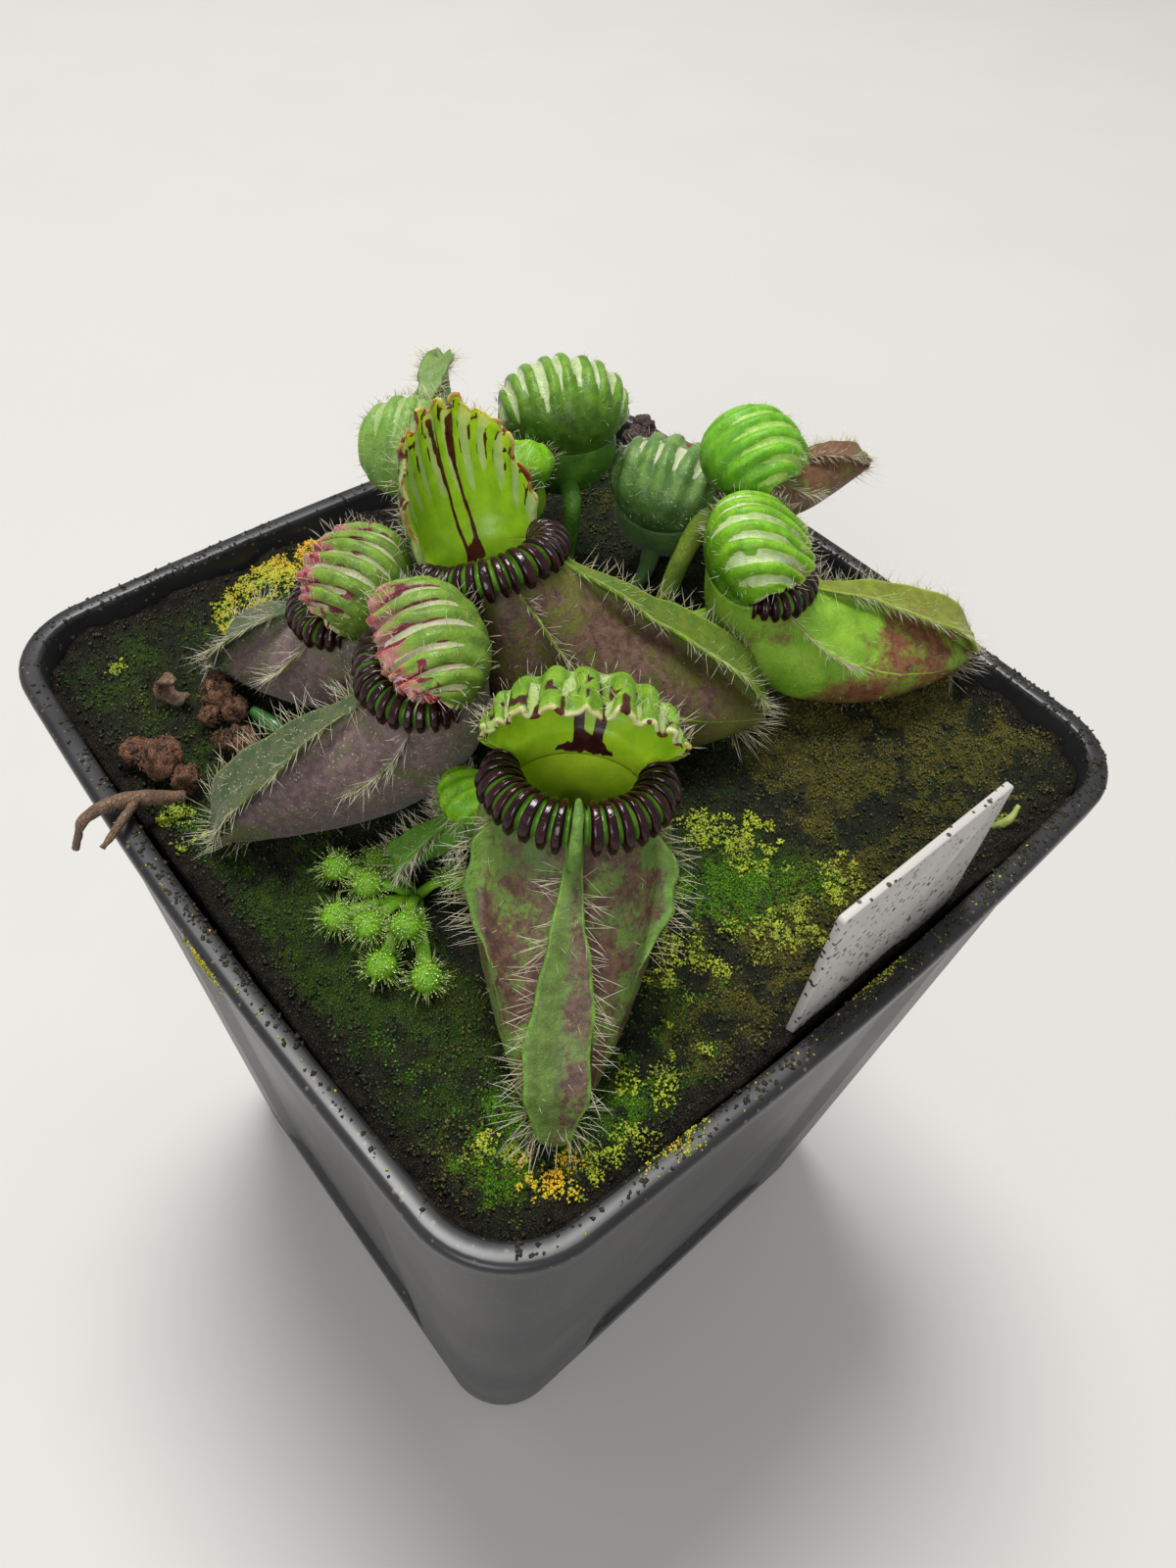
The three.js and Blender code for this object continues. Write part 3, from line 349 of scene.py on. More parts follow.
def hairs(shell, roots, ways, lengths, rng, thick=0.028, curl=0.07, sag=0.04):
    """Adds a hair at each root, and gives back the places of their tips"""
    n = len(roots)
    ways = unit(ways)
    bend = unit(rng.normal(size=(n, 3)))
    bend = bend - ways * np.einsum("ij,ij->i", bend, ways)[:, None]
    bend = curl * rng.uniform(0.2, 1, (n, 1)) * bend + np.array([0, 0, -sag])
    side = unit(np.cross(ways, unit(rng.normal(size=(n, 3)))))
    other = np.cross(ways, side)
    points, marks = [], []
    size = lengths[:, None]
    for t in HAIR_STATIONS:
        middle = roots + size * (ways * t + bend * t * t)
        for k in range(3):
            angle = 2 * np.pi * k / 3
            offset = math.cos(angle) * side + math.sin(angle) * other
            points.append(middle + offset * thick * (1 - 0.75 * t))
            marks.append(np.full(n, t))
    tips = roots + size * (ways + bend)
    points.append(tips)
    marks.append(np.ones(n))
    stride = 3 * len(HAIR_STATIONS) + 1
    points = np.stack(points, 1).reshape(-1, 3)
    tone = np.repeat(rng.uniform(0, 1, n), stride)
    t = np.stack(marks, 1).ravel()
    pairs = ((0, 1), (1, 2), (2, 0))
    last = stride - 4
    quads = [[a + k, b + k, b + k + 3, a + k + 3] for k in range(0, last, 3) for a, b in pairs]
    tris = [*([last + a, last + b, stride - 1] for a, b in pairs), [2, 1, 0]]
    start = (stride * np.arange(n))[:, None, None]
    shell.add(points, [(np.array(quads) + start).reshape(-1, 4), (np.array(tris) + start).reshape(-1, 3)],
              np.stack([t, tone, 0 * t, 0 * t], -1))
    return tips


# Pitcher form, as in the solids. Local axes: x across, y to the toe, z up from the mouth's middle

class Pitcher:
    def __init__(self, given):
        self.__dict__.update(given)
        out = self.length - self.depth
        low = self.toeRise - self.drop
        self.front_y = (self.depth, self.depth + 0.1 * out, self.depth + 0.66 * out, self.length)
        self.front_z = (0, 0.3 * low, self.arch * low, low + 0.07 * self.drop)
        self.back_y = (-self.depth, -self.depth - self.heel, 0.12 * self.length, self.length - 0.6)
        self.back_z = (0, -HEEL_SHARE * self.drop, -1.22 * self.drop, low)
        self.half = (self.width, self.swell[0] * self.belly, self.swell[1] * self.belly, 0.16 * self.belly)
        nod, lean, twist = self.mouth
        self.mouth_turn = spin("z", twist) @ spin("y", lean) @ spin("x", nod)
        self.mouth_tilt = self.mouth_turn @ spin("z", -twist)
        self.turn = spin("z", self.heading - 90) @ spin("y", self.roll) @ spin("x", self.pitch)
        self.seed = sum(ord(c) for c in self.name)

    def world(self, points):
        return points @ self.turn.T + np.array(self.at)

    def world_way(self, ways):
        return ways @ self.turn.T

    def local(self, point):
        return (np.asarray(point, float) - np.array(self.at)) @ self.turn

    def turned(self, v, points):
        share = 1 - smooth(0, MOUTH_BLEND, v)
        return mix(points, points @ self.mouth_tilt.T, np.asarray(share)[..., None])

    def section(self, v, theta, inset=0.0, lift=0.0):
        """Points of the cup's cross-sections: theta 0 is the keel line and 180 the heel side"""
        v, theta, lift = np.broadcast_arrays(np.asarray(v, float), np.radians(theta), lift)
        fy, fz = bezier(self.front_y, v), bezier(self.front_z, v)
        by, bz = bezier(self.back_y, v), bezier(self.back_z, v)
        chord = np.hypot(fy - by, fz - bz)
        s0, c = np.sin(theta), np.cos(theta)
        s = np.abs(s0)
        power = np.where(c > 0, 1.8, 2.3)
        rho = (s**power + np.abs(c)**power)**(-1 / power)
        flank = mix(1, np.where(s0 > 0, self.flanks[1], self.flanks[0]), smooth(0, 0.35, v))
        half = np.maximum(0.1, bezier(self.half, v) * flank - inset)
        reach = np.maximum(0.1, chord / 2 - inset)
        along = rho * c * reach + lift * c
        points = np.stack([
            np.sign(s0) * (rho * s * half + lift * s),
            (fy + by) / 2 + (fy - by) / chord * along,
            (fz + bz) / 2 + (fz - bz) / chord * along], -1)
        return self.turned(v, points)

    def wing_lift(self, v):
        return self.wing * smooth(0.07, 0.2, v) * (1 - smooth(0.35, 0.6, v))

    def keel_lift(self, v):
        return self.keel * (0.08 + 0.92 * smooth(0.07, 0.4, v)) * (1 - 0.5 * smooth(0.85, 1, v))

    def flange_half(self, v):
        return mix(KEEL_STEM + 0.15, self.flange, smooth(0.1, 0.75, v)) * (1 - 0.45 * smooth(0.86, 1, v))

    def keel_point(self, v, height, x):
        rise = self.section(v, 0.0, 0.0, height)
        across = unit(self.turned(v, np.broadcast_to([1.0, 0, 0], rise.shape)))
        return rise + across * np.asarray(x)[..., None]

    def mouth_point(self, phi):
        return np.stack([(self.width - 0.45) * np.sin(phi), (self.depth - 0.45) * np.cos(phi),
                         np.zeros_like(phi)], -1)

    def lid_point(self, a, r):
        """Middle surface of the lid: a runs from -1 to 1 across, r from the root to the margin"""
        cos, sin = np.cos(np.pi / 2 * a), np.sin(np.pi / 2 * a)
        cos = np.maximum(cos, 0)
        root_angle = np.radians(180 - LID_ROOT_SPREAD * a)
        half = self.width + self.lidOver
        corner = (-0.12 * self.depth, 3 * self.rollSize)
        ribs = np.cos(np.pi * self.lidRibs * a)
        root = (0.97 * self.width * np.sin(root_angle), 0.97 * self.depth * np.cos(root_angle),
                np.full_like(a, LID_ROOT_HEIGHT))

        def spread(place, side, rise):
            return (side * half * sin, mix(mix(root[1], corner[0], rise), place[0], cos**0.8),
                    mix(mix(root[2], corner[1], rise), place[1], cos**0.8))

        back = spread(self.lidBack, 0.98, LID_CORNER_RISE[0])
        front = spread(self.lidFront, 1.02, LID_CORNER_RISE[1])
        edge = spread(self.lidEdge, 1.02, LID_CORNER_RISE[2])
        edge = (edge[0], edge[1], edge[2] + self.lidWave * ribs * (0.35 + 0.65 * cos))
        return np.stack([bezier((root[k], back[k], front[k], edge[k]), r) for k in range(3)], -1)

    def lid_normal(self, a, r):
        step = 1e-3
        across = (self.lid_point(np.minimum(1, a + step), r)
                  - self.lid_point(np.maximum(-1, a - step), r))
        along = (self.lid_point(a, np.minimum(1, r + step))
                 - self.lid_point(a, np.maximum(0, r - step)))
        normal = unit(np.cross(across, along))
        sideways = np.stack([np.sign(a), np.zeros_like(a), np.zeros_like(a)], -1)
        return unit(mix(normal, sideways, smooth(LID_CORNER_START, 1, np.abs(a))[..., None]))

    def mouth_world(self, points):
        return self.world(points @ self.mouth_turn.T)

    def mouth_way(self, ways):
        return self.world_way(ways @ self.mouth_turn.T)


BODY_ANGLES = np.concatenate([
    [9, 12, 16, 20, 25, 30, 35, 40, 45, 50, 54, 57, 58.7], [59.5, 60, 60.5], [61.3, 63, 66, 70, 76, 82],
    np.arange(90, 180, 9)])
WING_COLUMNS = {59.5: 0.75, 60: 1.0, 60.5: 0.75}
CREST_SHARES = (0.3, 0.6, 0.85, 1.0)
CUP_STATIONS = 64


def cup_surface(p):
    """Points, faces, marks and slots of the outer skin with its keel and wings, and of an open throat"""
    v = 1 - 0.998 * np.linspace(0, 1, CUP_STATIONS)
    v = np.sort(np.concatenate([v, [0.0, 0.01, 0.03]]))[::-1]
    lift, half, wing = p.keel_lift(v), p.flange_half(v), p.wing_lift(v)
    rng = np.random.default_rng(p.seed)
    wave = 0.16 * np.sin(14 * v + rng.uniform(0, 6)) + 0.1 * np.sin(31 * v + rng.uniform(0, 6))
    wave = wave * smooth(0.2, 0.5, v) * p.flange / 2.6
    crease = 0.42 * smooth(0.2, 0.6, v) * p.keel / 2.4
    zero = np.zeros_like(v)
    columns, marks = [], []

    def put(points, flange=0.0, edge=0.0):
        columns.append(points)
        marks.append(np.stack([zero, zero + flange, zero + edge, v], -1))

    toeward = p.section(1.0, 0.0) - p.section(0.93, 0.0)
    toeward = toeward / np.linalg.norm(toeward)
    horns = p.fork * smooth(0.82, 1, v)

    def keel(height, x, flange, edge=0.0, share=1.0):
        rise = horns[:, None] * (share - 0.55) * toeward if flange == 1 else 0
        put(p.keel_point(v, np.maximum(height, 0.02), x) + rise, flange, edge)

    def side_columns(side):
        out = half + wave * side
        for share in CREST_SHARES:
            keel(lift + 0.1 - crease * (1 - share)**1.5, side * share * out, 1, smooth(0.8, 1, share), share)
        keel(lift - 0.2, side * (out + 0.08), 1, 1)
        keel(lift + 0.1 - 0.75 * KEEL_THICK, side * (out - 0.12), 1, 0.4)
        keel(lift + 0.05 - KEEL_THICK, side * mix(out, KEEL_STEM, 0.5), 1)
        keel(lift - 0.1 - KEEL_THICK, side * KEEL_STEM, 0.8)
        keel(0.5 * (lift - KEEL_THICK), side * (KEEL_STEM - 0.05), 0.6)
        keel(zero + 0.04, side * (KEEL_STEM + 0.2), 0.3)
        for angle in BODY_ANGLES:
            share = WING_COLUMNS.get(float(angle), 0)
            ripple = 1 + 0.12 * np.sin(40 * v + side)
            put(p.section(v, side * angle, 0.0, share * wing * ripple), 0, share)

    keel(lift + 0.1 - crease, zero, 1, 0.0, 0.0)
    side_columns(1)
    put(p.section(v, 180.0))
    middle = len(columns)
    side_columns(-1)
    columns[middle:] = columns[middle:][::-1]
    marks[middle:] = marks[middle:][::-1]
    outer = np.stack(columns, 1)
    outer_marks = np.stack(marks, 1)
    centre = outer.mean(1, keepdims=True)
    body = 1 - outer_marks[..., 1:2]
    lumps = 0.22 * fractal(outer, 4.5, 2, p.seed) + 0.07 * value_noise(outer, 1.1, p.seed + 5)
    fade = (smooth(0.0, 0.12, v))[:, None, None] * body * p.belly / 9
    outer = outer + unit(outer - centre) * lumps[..., None] * fade
    cols = outer.shape[1]
    first = outer[0].mean(0)
    ahead = unit(first - outer[4].mean(0))
    cap = [first + (outer[0] - first) * math.cos(t) + ahead * 0.8 * math.sin(t) for t in (1.35, 0.9, 0.45)]
    rows = np.concatenate([np.stack(cap), outer])
    row_marks = np.concatenate([np.repeat(outer_marks[:1], 3, 0), outer_marks])
    toe = first + ahead * 0.85
    if not p.open:
        points = p.world(np.vstack([rows.reshape(-1, 3), toe, [[0.0, 0, 0]]]))
        faces = outward(points, skin_faces(len(rows), cols))
        return points, faces, np.vstack([row_marks.reshape(-1, 4), row_marks[0, :1], row_marks[-1, :1]]), 0
    inner_v = np.concatenate([[0], np.linspace(0.015, 0.38, 16)])
    inner = np.stack([p.section(inner_v, t, CUP_WALL) for t in inner_angles()], 1)
    inner_marks = np.zeros(inner.shape[:2] + (4,))
    # Red mark of the throat: painted shade, so the lime wall turns near black deeper inside the cup
    inner_marks[..., 0] = smooth(0.16, 0.4, inner_v)[:, None]
    end = (p.section(THROAT_END, 0.0) + p.section(THROAT_END, 180.0)) / 2
    points = p.world(np.vstack([rows.reshape(-1, 3), inner.reshape(-1, 3), toe, end]))
    total = len(rows) + len(inner)
    faces = outward(points, skin_faces(total, cols))
    slots = np.concatenate([
        np.repeat((np.arange(total - 1) >= len(rows)).astype(int), cols), np.zeros(cols, int),
        np.ones(cols, int)])
    return points, faces, np.vstack([row_marks.reshape(-1, 4), inner_marks.reshape(-1, 4), row_marks[0, :1],
                                     inner_marks[-1, :1]]), slots


def inner_angles():
    """Angles of the throat's columns, one for each column of the outer skin"""
    keel_columns = len(CREST_SHARES) + 6
    near = 8.5 * np.arange(1, keel_columns + 1) / (keel_columns + 1)
    side = np.concatenate([near, BODY_ANGLES])
    return np.concatenate([[0], side, [180], -side[::-1]])


def add_cup(p, shell):
    points, faces, marks, slots = cup_surface(p)
    shell.add(points, faces, flushed(p, points, marks), slots)


def flushed(p, points, marks):
    """Red mark: how far the flush colour covers the outer skin; the throat keeps its own marks"""
    v = marks[:, 3]
    outer = v > 0
    low, high, strength, on_flange = FLUSH.get(p.name, (2, 3, 0, 0))
    cover = smooth(low - 0.1, low + 0.1, v) * (1 - smooth(high - 0.12, high + 0.12, v))
    noise = 0.7 * fractal(points, 6, 3, p.seed) + 0.45 * value_noise(points, 1.2, p.seed + 1)
    side = ((points - np.array(p.at)) @ p.turn)[:, 0]
    half_flange = 1 - smooth(-0.3, 0.3, side) if on_flange < 0 else 1.0
    share = mix(1, abs(on_flange) * half_flange, np.clip(marks[:, 1], 0, 1))
    marks = marks.copy()
    flush = np.clip((strength * cover + noise * (strength > 0)) * share, 0, 1)
    marks[outer, 0] = flush[outer]
    return marks


# Where the flush starts and ends from mouth to toe, its strength, and its share on the flange,
# which is negative where it covers one half only. Pitchers that aren't listed have none
FLUSH = {
    "near": (0.08, 0.97, 0.55, -0.85), "tall": (0.1, 0.86, 0.62, 0.3), "left": (-0.2, 0.89, 0.82, 0.25),
    "back_left": (-0.2, 0.93, 0.85, 0.15), "right": (0.52, 1.3, 0.66, 0.25), "stalked": (-0.2, 1.3, 0.8, 0.9),
}


def add_stalk(p, shell):
    def foot(z):
        return p.local((p.foot[0], p.foot[1], z))

    places = [p.section(STALK_STATION, 180.0, 0.6), p.section(STALK_STATION, 180.0, 0.0, p.bow),
              foot(SOIL_TOP + 1.6), foot(SOIL_TOP - STALK_DEPTH)]
    radii = [1.5 * p.stalk, 1.02 * p.stalk, p.stalk, p.stalk]
    points, faces = tube(places, radii, 12, 30, 0.05, p.seed)
    shell.add(p.world(points), faces, np.tile([0, 0, 0, 0.5], (len(points), 1)))


def add_keel_cap(p, shell):
    """The keel's ridge carries on up over the front of the peristome"""
    r, d = p.rollSize, p.depth
    places = np.array([(0, d + 0.6, -3.2), (0, d + 2.0, -1.7), (0, d + 2.75 * r, 0.2), (0, d + 1.9 * r, 2.0),
                       (0, d + 0.2, 2.75 * r), (0, d - 1.1, 2.35 * r)], float)
    points, faces = tube(places, [0.3, 0.72, 0.62, 0.5, 0.45, 0.3], 14, 40, 0.08, p.seed)
    shell.add(p.mouth_world(points), faces, np.tile([0, 1, 0.5, 0.02], (len(points), 1)))


# Peristome: the roll round the mouth, from the inner claw over the top to the outer end
RIDGE = [(-0.8, 0.45), (-1.45, -1.15), (-2.0, -0.75), (-2.05, 0.5), (-1.35, 1.7), (-0.15, 2.4), (1.2, 2.15),
         (2.2, 1.25), (2.65, 0.05), (2.4, -1.05), (1.85, -1.1), (1.05, 0.4)]
VALLEY = [(-0.8, 0.45), (-0.9, -0.2), (-1.15, 0.0), (-1.15, 0.5), (-0.8, 1.05), (-0.1, 1.4), (0.75, 1.25),
          (1.35, 0.8), (1.6, 0.1), (1.5, -0.5), (1.3, -0.4), (1.05, 0.4)]
CLAW_SHARPNESS = [1, 1.7, 1.9, 1.0, 0.6, 0.45, 0.45, 0.5, 0.65, 0.95, 1.2, 1]
STEPS_PER_RIB = 12
ROLL_POINTS = 30


def closed_curve(values, count):
    """Smooth closed curve through rows of numbers"""
    p = np.asarray(values, float)
    n = len(p)
    t = np.linspace(0, n, count, endpoint=False)
    i = np.floor(t).astype(int)
    f = (t - i)[:, None]
    a, b, c, d = (p[(i + k) % n].reshape(count, -1) for k in (-1, 0, 1, 2))
    return 0.5 * (2 * b + (c - a) * f + (2 * a - 5 * b + 4 * c - d) * f**2 + (3 * b - a - 3 * c + d) * f**3)


def add_peristome(p, shell):
    rng = np.random.default_rng(p.seed + 1)
    steps = p.ribs * STEPS_PER_RIB + 1
    t = np.linspace(0, 1, steps)
    phi = np.radians(mix(-p.sweep, p.sweep, t))
    ridge, valley = closed_curve(RIDGE, ROLL_POINTS), closed_curve(VALLEY, ROLL_POINTS)
    sharp = closed_curve(CLAW_SHARPNESS, ROLL_POINTS)[:, 0]
    height = np.interp(t * p.ribs, np.arange(p.ribs + 1), rng.uniform(0.82, 1.12, p.ribs + 1))
    wander = np.interp(t * p.ribs, np.arange(p.ribs + 1), rng.normal(0, 0.1, p.ribs + 1))
    crest = 0.5 + 0.5 * np.cos(2 * np.pi * (t * p.ribs + wander))
    g = smooth(0.06, 0.9, crest[:, None]**(0.72 * sharp[None]))
    end = (0.65 + 0.35 * np.sin(np.pi * t)**0.5)[:, None, None] * p.rollSize
    shape = mix(valley[None], ridge[None], (g * height[:, None])[..., None])
    base = np.array([0, 0.4])
    shape = base + (shape - base) * end
    middle = p.mouth_point(phi)
    out = unit(np.stack([np.sin(phi) / p.width, np.cos(phi) / p.depth, np.zeros_like(phi)], -1))
    points = middle[:, None] + out[:, None] * shape[..., :1]
    points[..., 2] += shape[..., 1]
    flat = points.reshape(-1, 3)
    ends = np.vstack([points[0].mean(0), points[-1].mean(0)])
    world = p.mouth_world(np.vstack([flat, ends]))
    u = np.linspace(0, 1, ROLL_POINTS, endpoint=False)
    marks = np.zeros((steps, ROLL_POINTS, 4))
    at_end = smooth(0.62, 0.95, np.abs(2 * t - 1))
    marks[..., 0] = np.maximum(smooth(0.02, 0.36, crest), at_end)[:, None]
    marks[..., 1] = (smooth(0.03, 0.1, u) * (1 - smooth(0.2, 0.32, u)))[None]
    marks[..., 2] = smooth(0.66, 0.8, u)[None]
    marks = np.vstack([marks.reshape(-1, 4), marks[0, 0], marks[-1, 0]])
    shell.add(world, outward(world, skin_faces(steps, ROLL_POINTS)), marks)


# Lids

# Rows and columns of an open pitcher's lid, and of a shut one
LID_GRIDS = {True: (34, 117), False: (24, 79)}
# How crumpled the margin is, where it isn't 0.3
LID_CRUMPLE = {"rosy": 0.55}
# How far in the inner face stands at its root, so that the cup's rim stays behind it
LID_FOOT = 0.3
# Rows of the hem that runs down inside the mouth: depth, how far in from the root, and r on the lid's scale
LID_HEM = [(2.4 * t, LID_FOOT + 0.2 * t**0.7, -0.13 * t) for t in np.linspace(1, 0.24, 11)]

# count: windows in half a lid; span: where they start and end from root to margin; share: their width;
# broken: how much they break up; bands: middle and half width of the two dark bands inside, and half
# width of the ragged patch where they meet; veins and freckle: strength of the red lines and dots;
# ring: where red lines start and are full; late: the same for windows inside; rim: start and end of the
# coloured margin and how far it wanders
CLEAN_LID = dict(count=4, bands=None, veins=0, freckle=0, ring=(0.5, 0.8), late=(0.45, 0.6),
                 rim=(0.965, 0.985, 0.003))
LID_STYLES = {
    "speckled": dict(CLEAN_LID, count=4.5, span=(0.42, 0.97), share=0.4, broken=0.7,
                     bands=(0.125, 0.068, 0.34), veins=0.4, freckle=0.8),
    "lined": dict(CLEAN_LID, count=5.5, span=(0.2, 0.98), share=0.5, broken=0.35, late=(0.2, 0.4),
                  bands=(0.09, 0.03, 0.16), veins=1.0, freckle=0.7, ring=(0.38, 0.62)),
    "rosy": dict(CLEAN_LID, count=4.5, span=(0.34, 0.96), share=0.36, broken=0.45, veins=0.9, freckle=0.9,
                 ring=(0.35, 0.65), rim=(0.7, 0.95, 0.1)),
    "banded": dict(CLEAN_LID, count=4.5, span=(0.28, 0.97), share=0.52, broken=0.5, freckle=0.05),
    "striped": dict(CLEAN_LID, count=5, span=(0.24, 0.97), share=0.46, broken=0.3),
    "blushed": dict(CLEAN_LID, span=(0.4, 0.98), share=0.4, broken=0.6, veins=0.9, freckle=0.8,
                    ring=(0.45, 0.8), rim=(0.8, 0.97, 0.09)),
    "fresh": dict(CLEAN_LID, span=(0.4, 0.97), share=0.42, broken=0.4),
    "faint": dict(CLEAN_LID, span=(0.5, 0.97), share=0.36, broken=0.3),
    "plain": dict(CLEAN_LID, count=3, span=(0.9, 0.95), share=0.05, broken=1.0),
}
# How far the two bands stand off the lid's middle line
BANDS_OFF = 0.03


def lid_phase(p, a, r):
    """Place across the lid, counted in ribs; a whole number is the middle of a window"""
    across = a * LID_STYLES[p.lid]["count"]
    return across + 0.16 * noise_at(p.seed, across, 1.8 * r, 3.0) + 0.5


def dark_bands(p, a, r, ragged):
    """Two dark bands inside the lid that run together in a ragged patch at its root"""
    if not LID_STYLES[p.lid]["bands"]:
        return np.zeros_like(a)
    centre, width, patch_half = LID_STYLES[p.lid]["bands"]
    sway = noise_at(p.seed + 5, 2 * np.sign(a + BANDS_OFF), 2.2 * r)
    side = np.abs(a + BANDS_OFF + (0.5 * ragged + 0.45 * sway) * centre)
    off = np.abs(side - centre * mix(0.9, 1.25, np.clip(r, 0, 1))) / (width * (1.15 - 0.35 * r))
    bands = (1 - smooth(0.6, 1.15, off + ragged)) * (1 - smooth(0.85, 0.96, r)) * smooth(-0.13, -0.1, r)
    taper = mix(patch_half, 0.6 * centre, np.clip((r + 0.1) / 0.1, 0, 1)**1.5)
    patch = (1 - smooth(0.7, 1.15, side / taper + 1.6 * ragged)) * smooth(-0.12, -0.1, r + 0.06 * ragged)
    patch = patch * (1 - smooth(-0.02, 0.03, r + 0.03 * ragged))
    return np.maximum(bands, patch)


def lid_marks(p, a, r):
    """Marks of a lid: pale windows, red lines round them, margin, and the two bands inside"""
    style = LID_STYLES[p.lid]
    start, stop = style["span"]
    phase = lid_phase(p, a, r)
    chance = np.sin(np.floor(phase + 0.5) * 12.9898 + p.seed) * 43758.5453
    chance = chance - np.floor(chance)
    first = start + 0.2 * (chance - 0.4)
    taper = smooth(first, first + 0.28, r) * (1 - smooth(stop - 0.05, stop + 0.02, r))
    level = np.cos(2 * np.pi * phase) - mix(1.02, math.cos(math.pi * style["share"]), taper)
    breaks = noise_at(p.seed + 3, a * style["count"], 7.2 * r, 3.0)
    window = smooth(-0.1, 0.16, level) * smooth(-0.15, 0.1, breaks + 1.1 - 1.3 * style["broken"])
    grain = noise_at(p.seed + 9, a * 26, r * 16)
    ring = smooth(-0.75, -0.2, level) * (1 - window) * smooth(*style["ring"], r) * smooth(-0.6, 0.1, grain)
    freckle = smooth(0.3, 0.55, grain) * (1 - 0.6 * window) * smooth(0.6, 0.85, r)
    lines = np.maximum(ring * style["veins"], freckle * style["freckle"])
    low, high, wander = style["rim"]
    margin = smooth(low, high, r + wander * (grain + 0.8 * np.cos(2 * np.pi * phase)))
    return window, lines, margin, dark_bands(p, a, r, 0.35 * noise_at(p.seed + 7, a * 18, r * 7))


def add_lid(p, shell):
    row_count, column_count = LID_GRIDS[p.open]
    r, a = np.meshgrid(np.linspace(0, 1, row_count), np.linspace(-1, 1, column_count), indexing="ij")
    normal = p.lid_normal(a, r)
    middle = p.lid_point(a, r)
    phase = 2 * np.pi * lid_phase(p, a, r)
    rib = -np.cos(phase) * smooth(0.1, 0.5, r) * (1 - smooth(0.7, 1, np.abs(a)))
    relief = p.lidRidge * (rib + 0.25 * np.cos(3 * phase) * smooth(0.5, 0.9, r))
    lumps = 0.06 * value_noise(middle, 0.9, p.seed) + 0.1 * value_noise(middle, 2.2, p.seed)
    relief = relief + lumps * smooth(0, 0.3, r) * p.width / 7
    relief = relief + 0.5 * p.lidWave * smooth(0.8, 1, r) * noise_at(5, a * 9, 0)
    crumple = LID_CRUMPLE.get(p.lid, 0.3) * p.open
    relief = relief + crumple * smooth(0.6, 1, r) * noise_at(p.seed + 11, a * 24, 3 * r)
    thick = LID_THICK * mix(1, 0.45, smooth(0.7, 1, r))
    window = lid_marks(p, a, r)[0]
    outer = middle + normal * (thick / 2 + relief - 0.07 * window)[..., None]
    inner = middle + normal * (0.8 * relief - thick / 2)[..., None]
    radial = unit(middle[0] * [1 / p.width**2, 1 / p.depth**2, 0])
    inner = inner - radial * (LID_FOOT * (1 - smooth(0, 0.12, r)))[..., None]
    hems = [middle[0] - [0, 0, drop] - radial * inset for drop, inset, _ in LID_HEM]
    outer = np.concatenate([np.stack([h + radial * LID_THICK / 2 for h in hems]), outer])
    inner = np.concatenate([np.stack([h - radial * LID_THICK / 2 for h in hems]), inner])
    r = np.concatenate([np.stack([np.full(column_count, place) for _, _, place in LID_HEM]), r])
    a = np.concatenate([a[:len(LID_HEM)], a])
    window, lines, margin, band = lid_marks(p, a, r)
    # Fourth mark: painted shade, darker towards the lid's root and down the hem inside the mouth
    outer_marks = np.stack([window, lines, margin, 1 - smooth(0.0, 0.5, r)], -1)
    late = smooth(*LID_STYLES[p.lid]["late"], r)
    inner_marks = np.stack([window * late, np.maximum(band, lines * late), margin, 0 * a], -1)
    add_slab(p, shell, outer, inner, np.stack([outer_marks, inner_marks]))


def add_slab(p, shell, outer, inner, marks):
    """A sheet with an outer face, an inner face in the second material, and edges between them"""
    rows, cols = outer.shape[:2]
    points = p.mouth_world(np.vstack([outer.reshape(-1, 3), inner.reshape(-1, 3)]))
    n = rows * cols
    top = grid_faces(rows, cols)
    low = top[:, ::-1] + n
    row0, row1 = np.arange(cols), np.arange(cols) + (rows - 1) * cols
    col0, col1 = np.arange(rows) * cols, np.arange(rows) * cols + cols - 1

    def strip(line):
        return np.stack([line[:-1], line[:-1] + n, line[1:] + n, line[1:]], -1)

    edges = np.concatenate([strip(row0), strip(row1[::-1]), strip(col1), strip(col0[::-1])])
    slots = np.repeat([0, 1, 0], [len(top), len(low), len(edges)])
    shell.add(points, outward(points, [top, low, edges]), marks, slots)


# Hairs on one pitcher

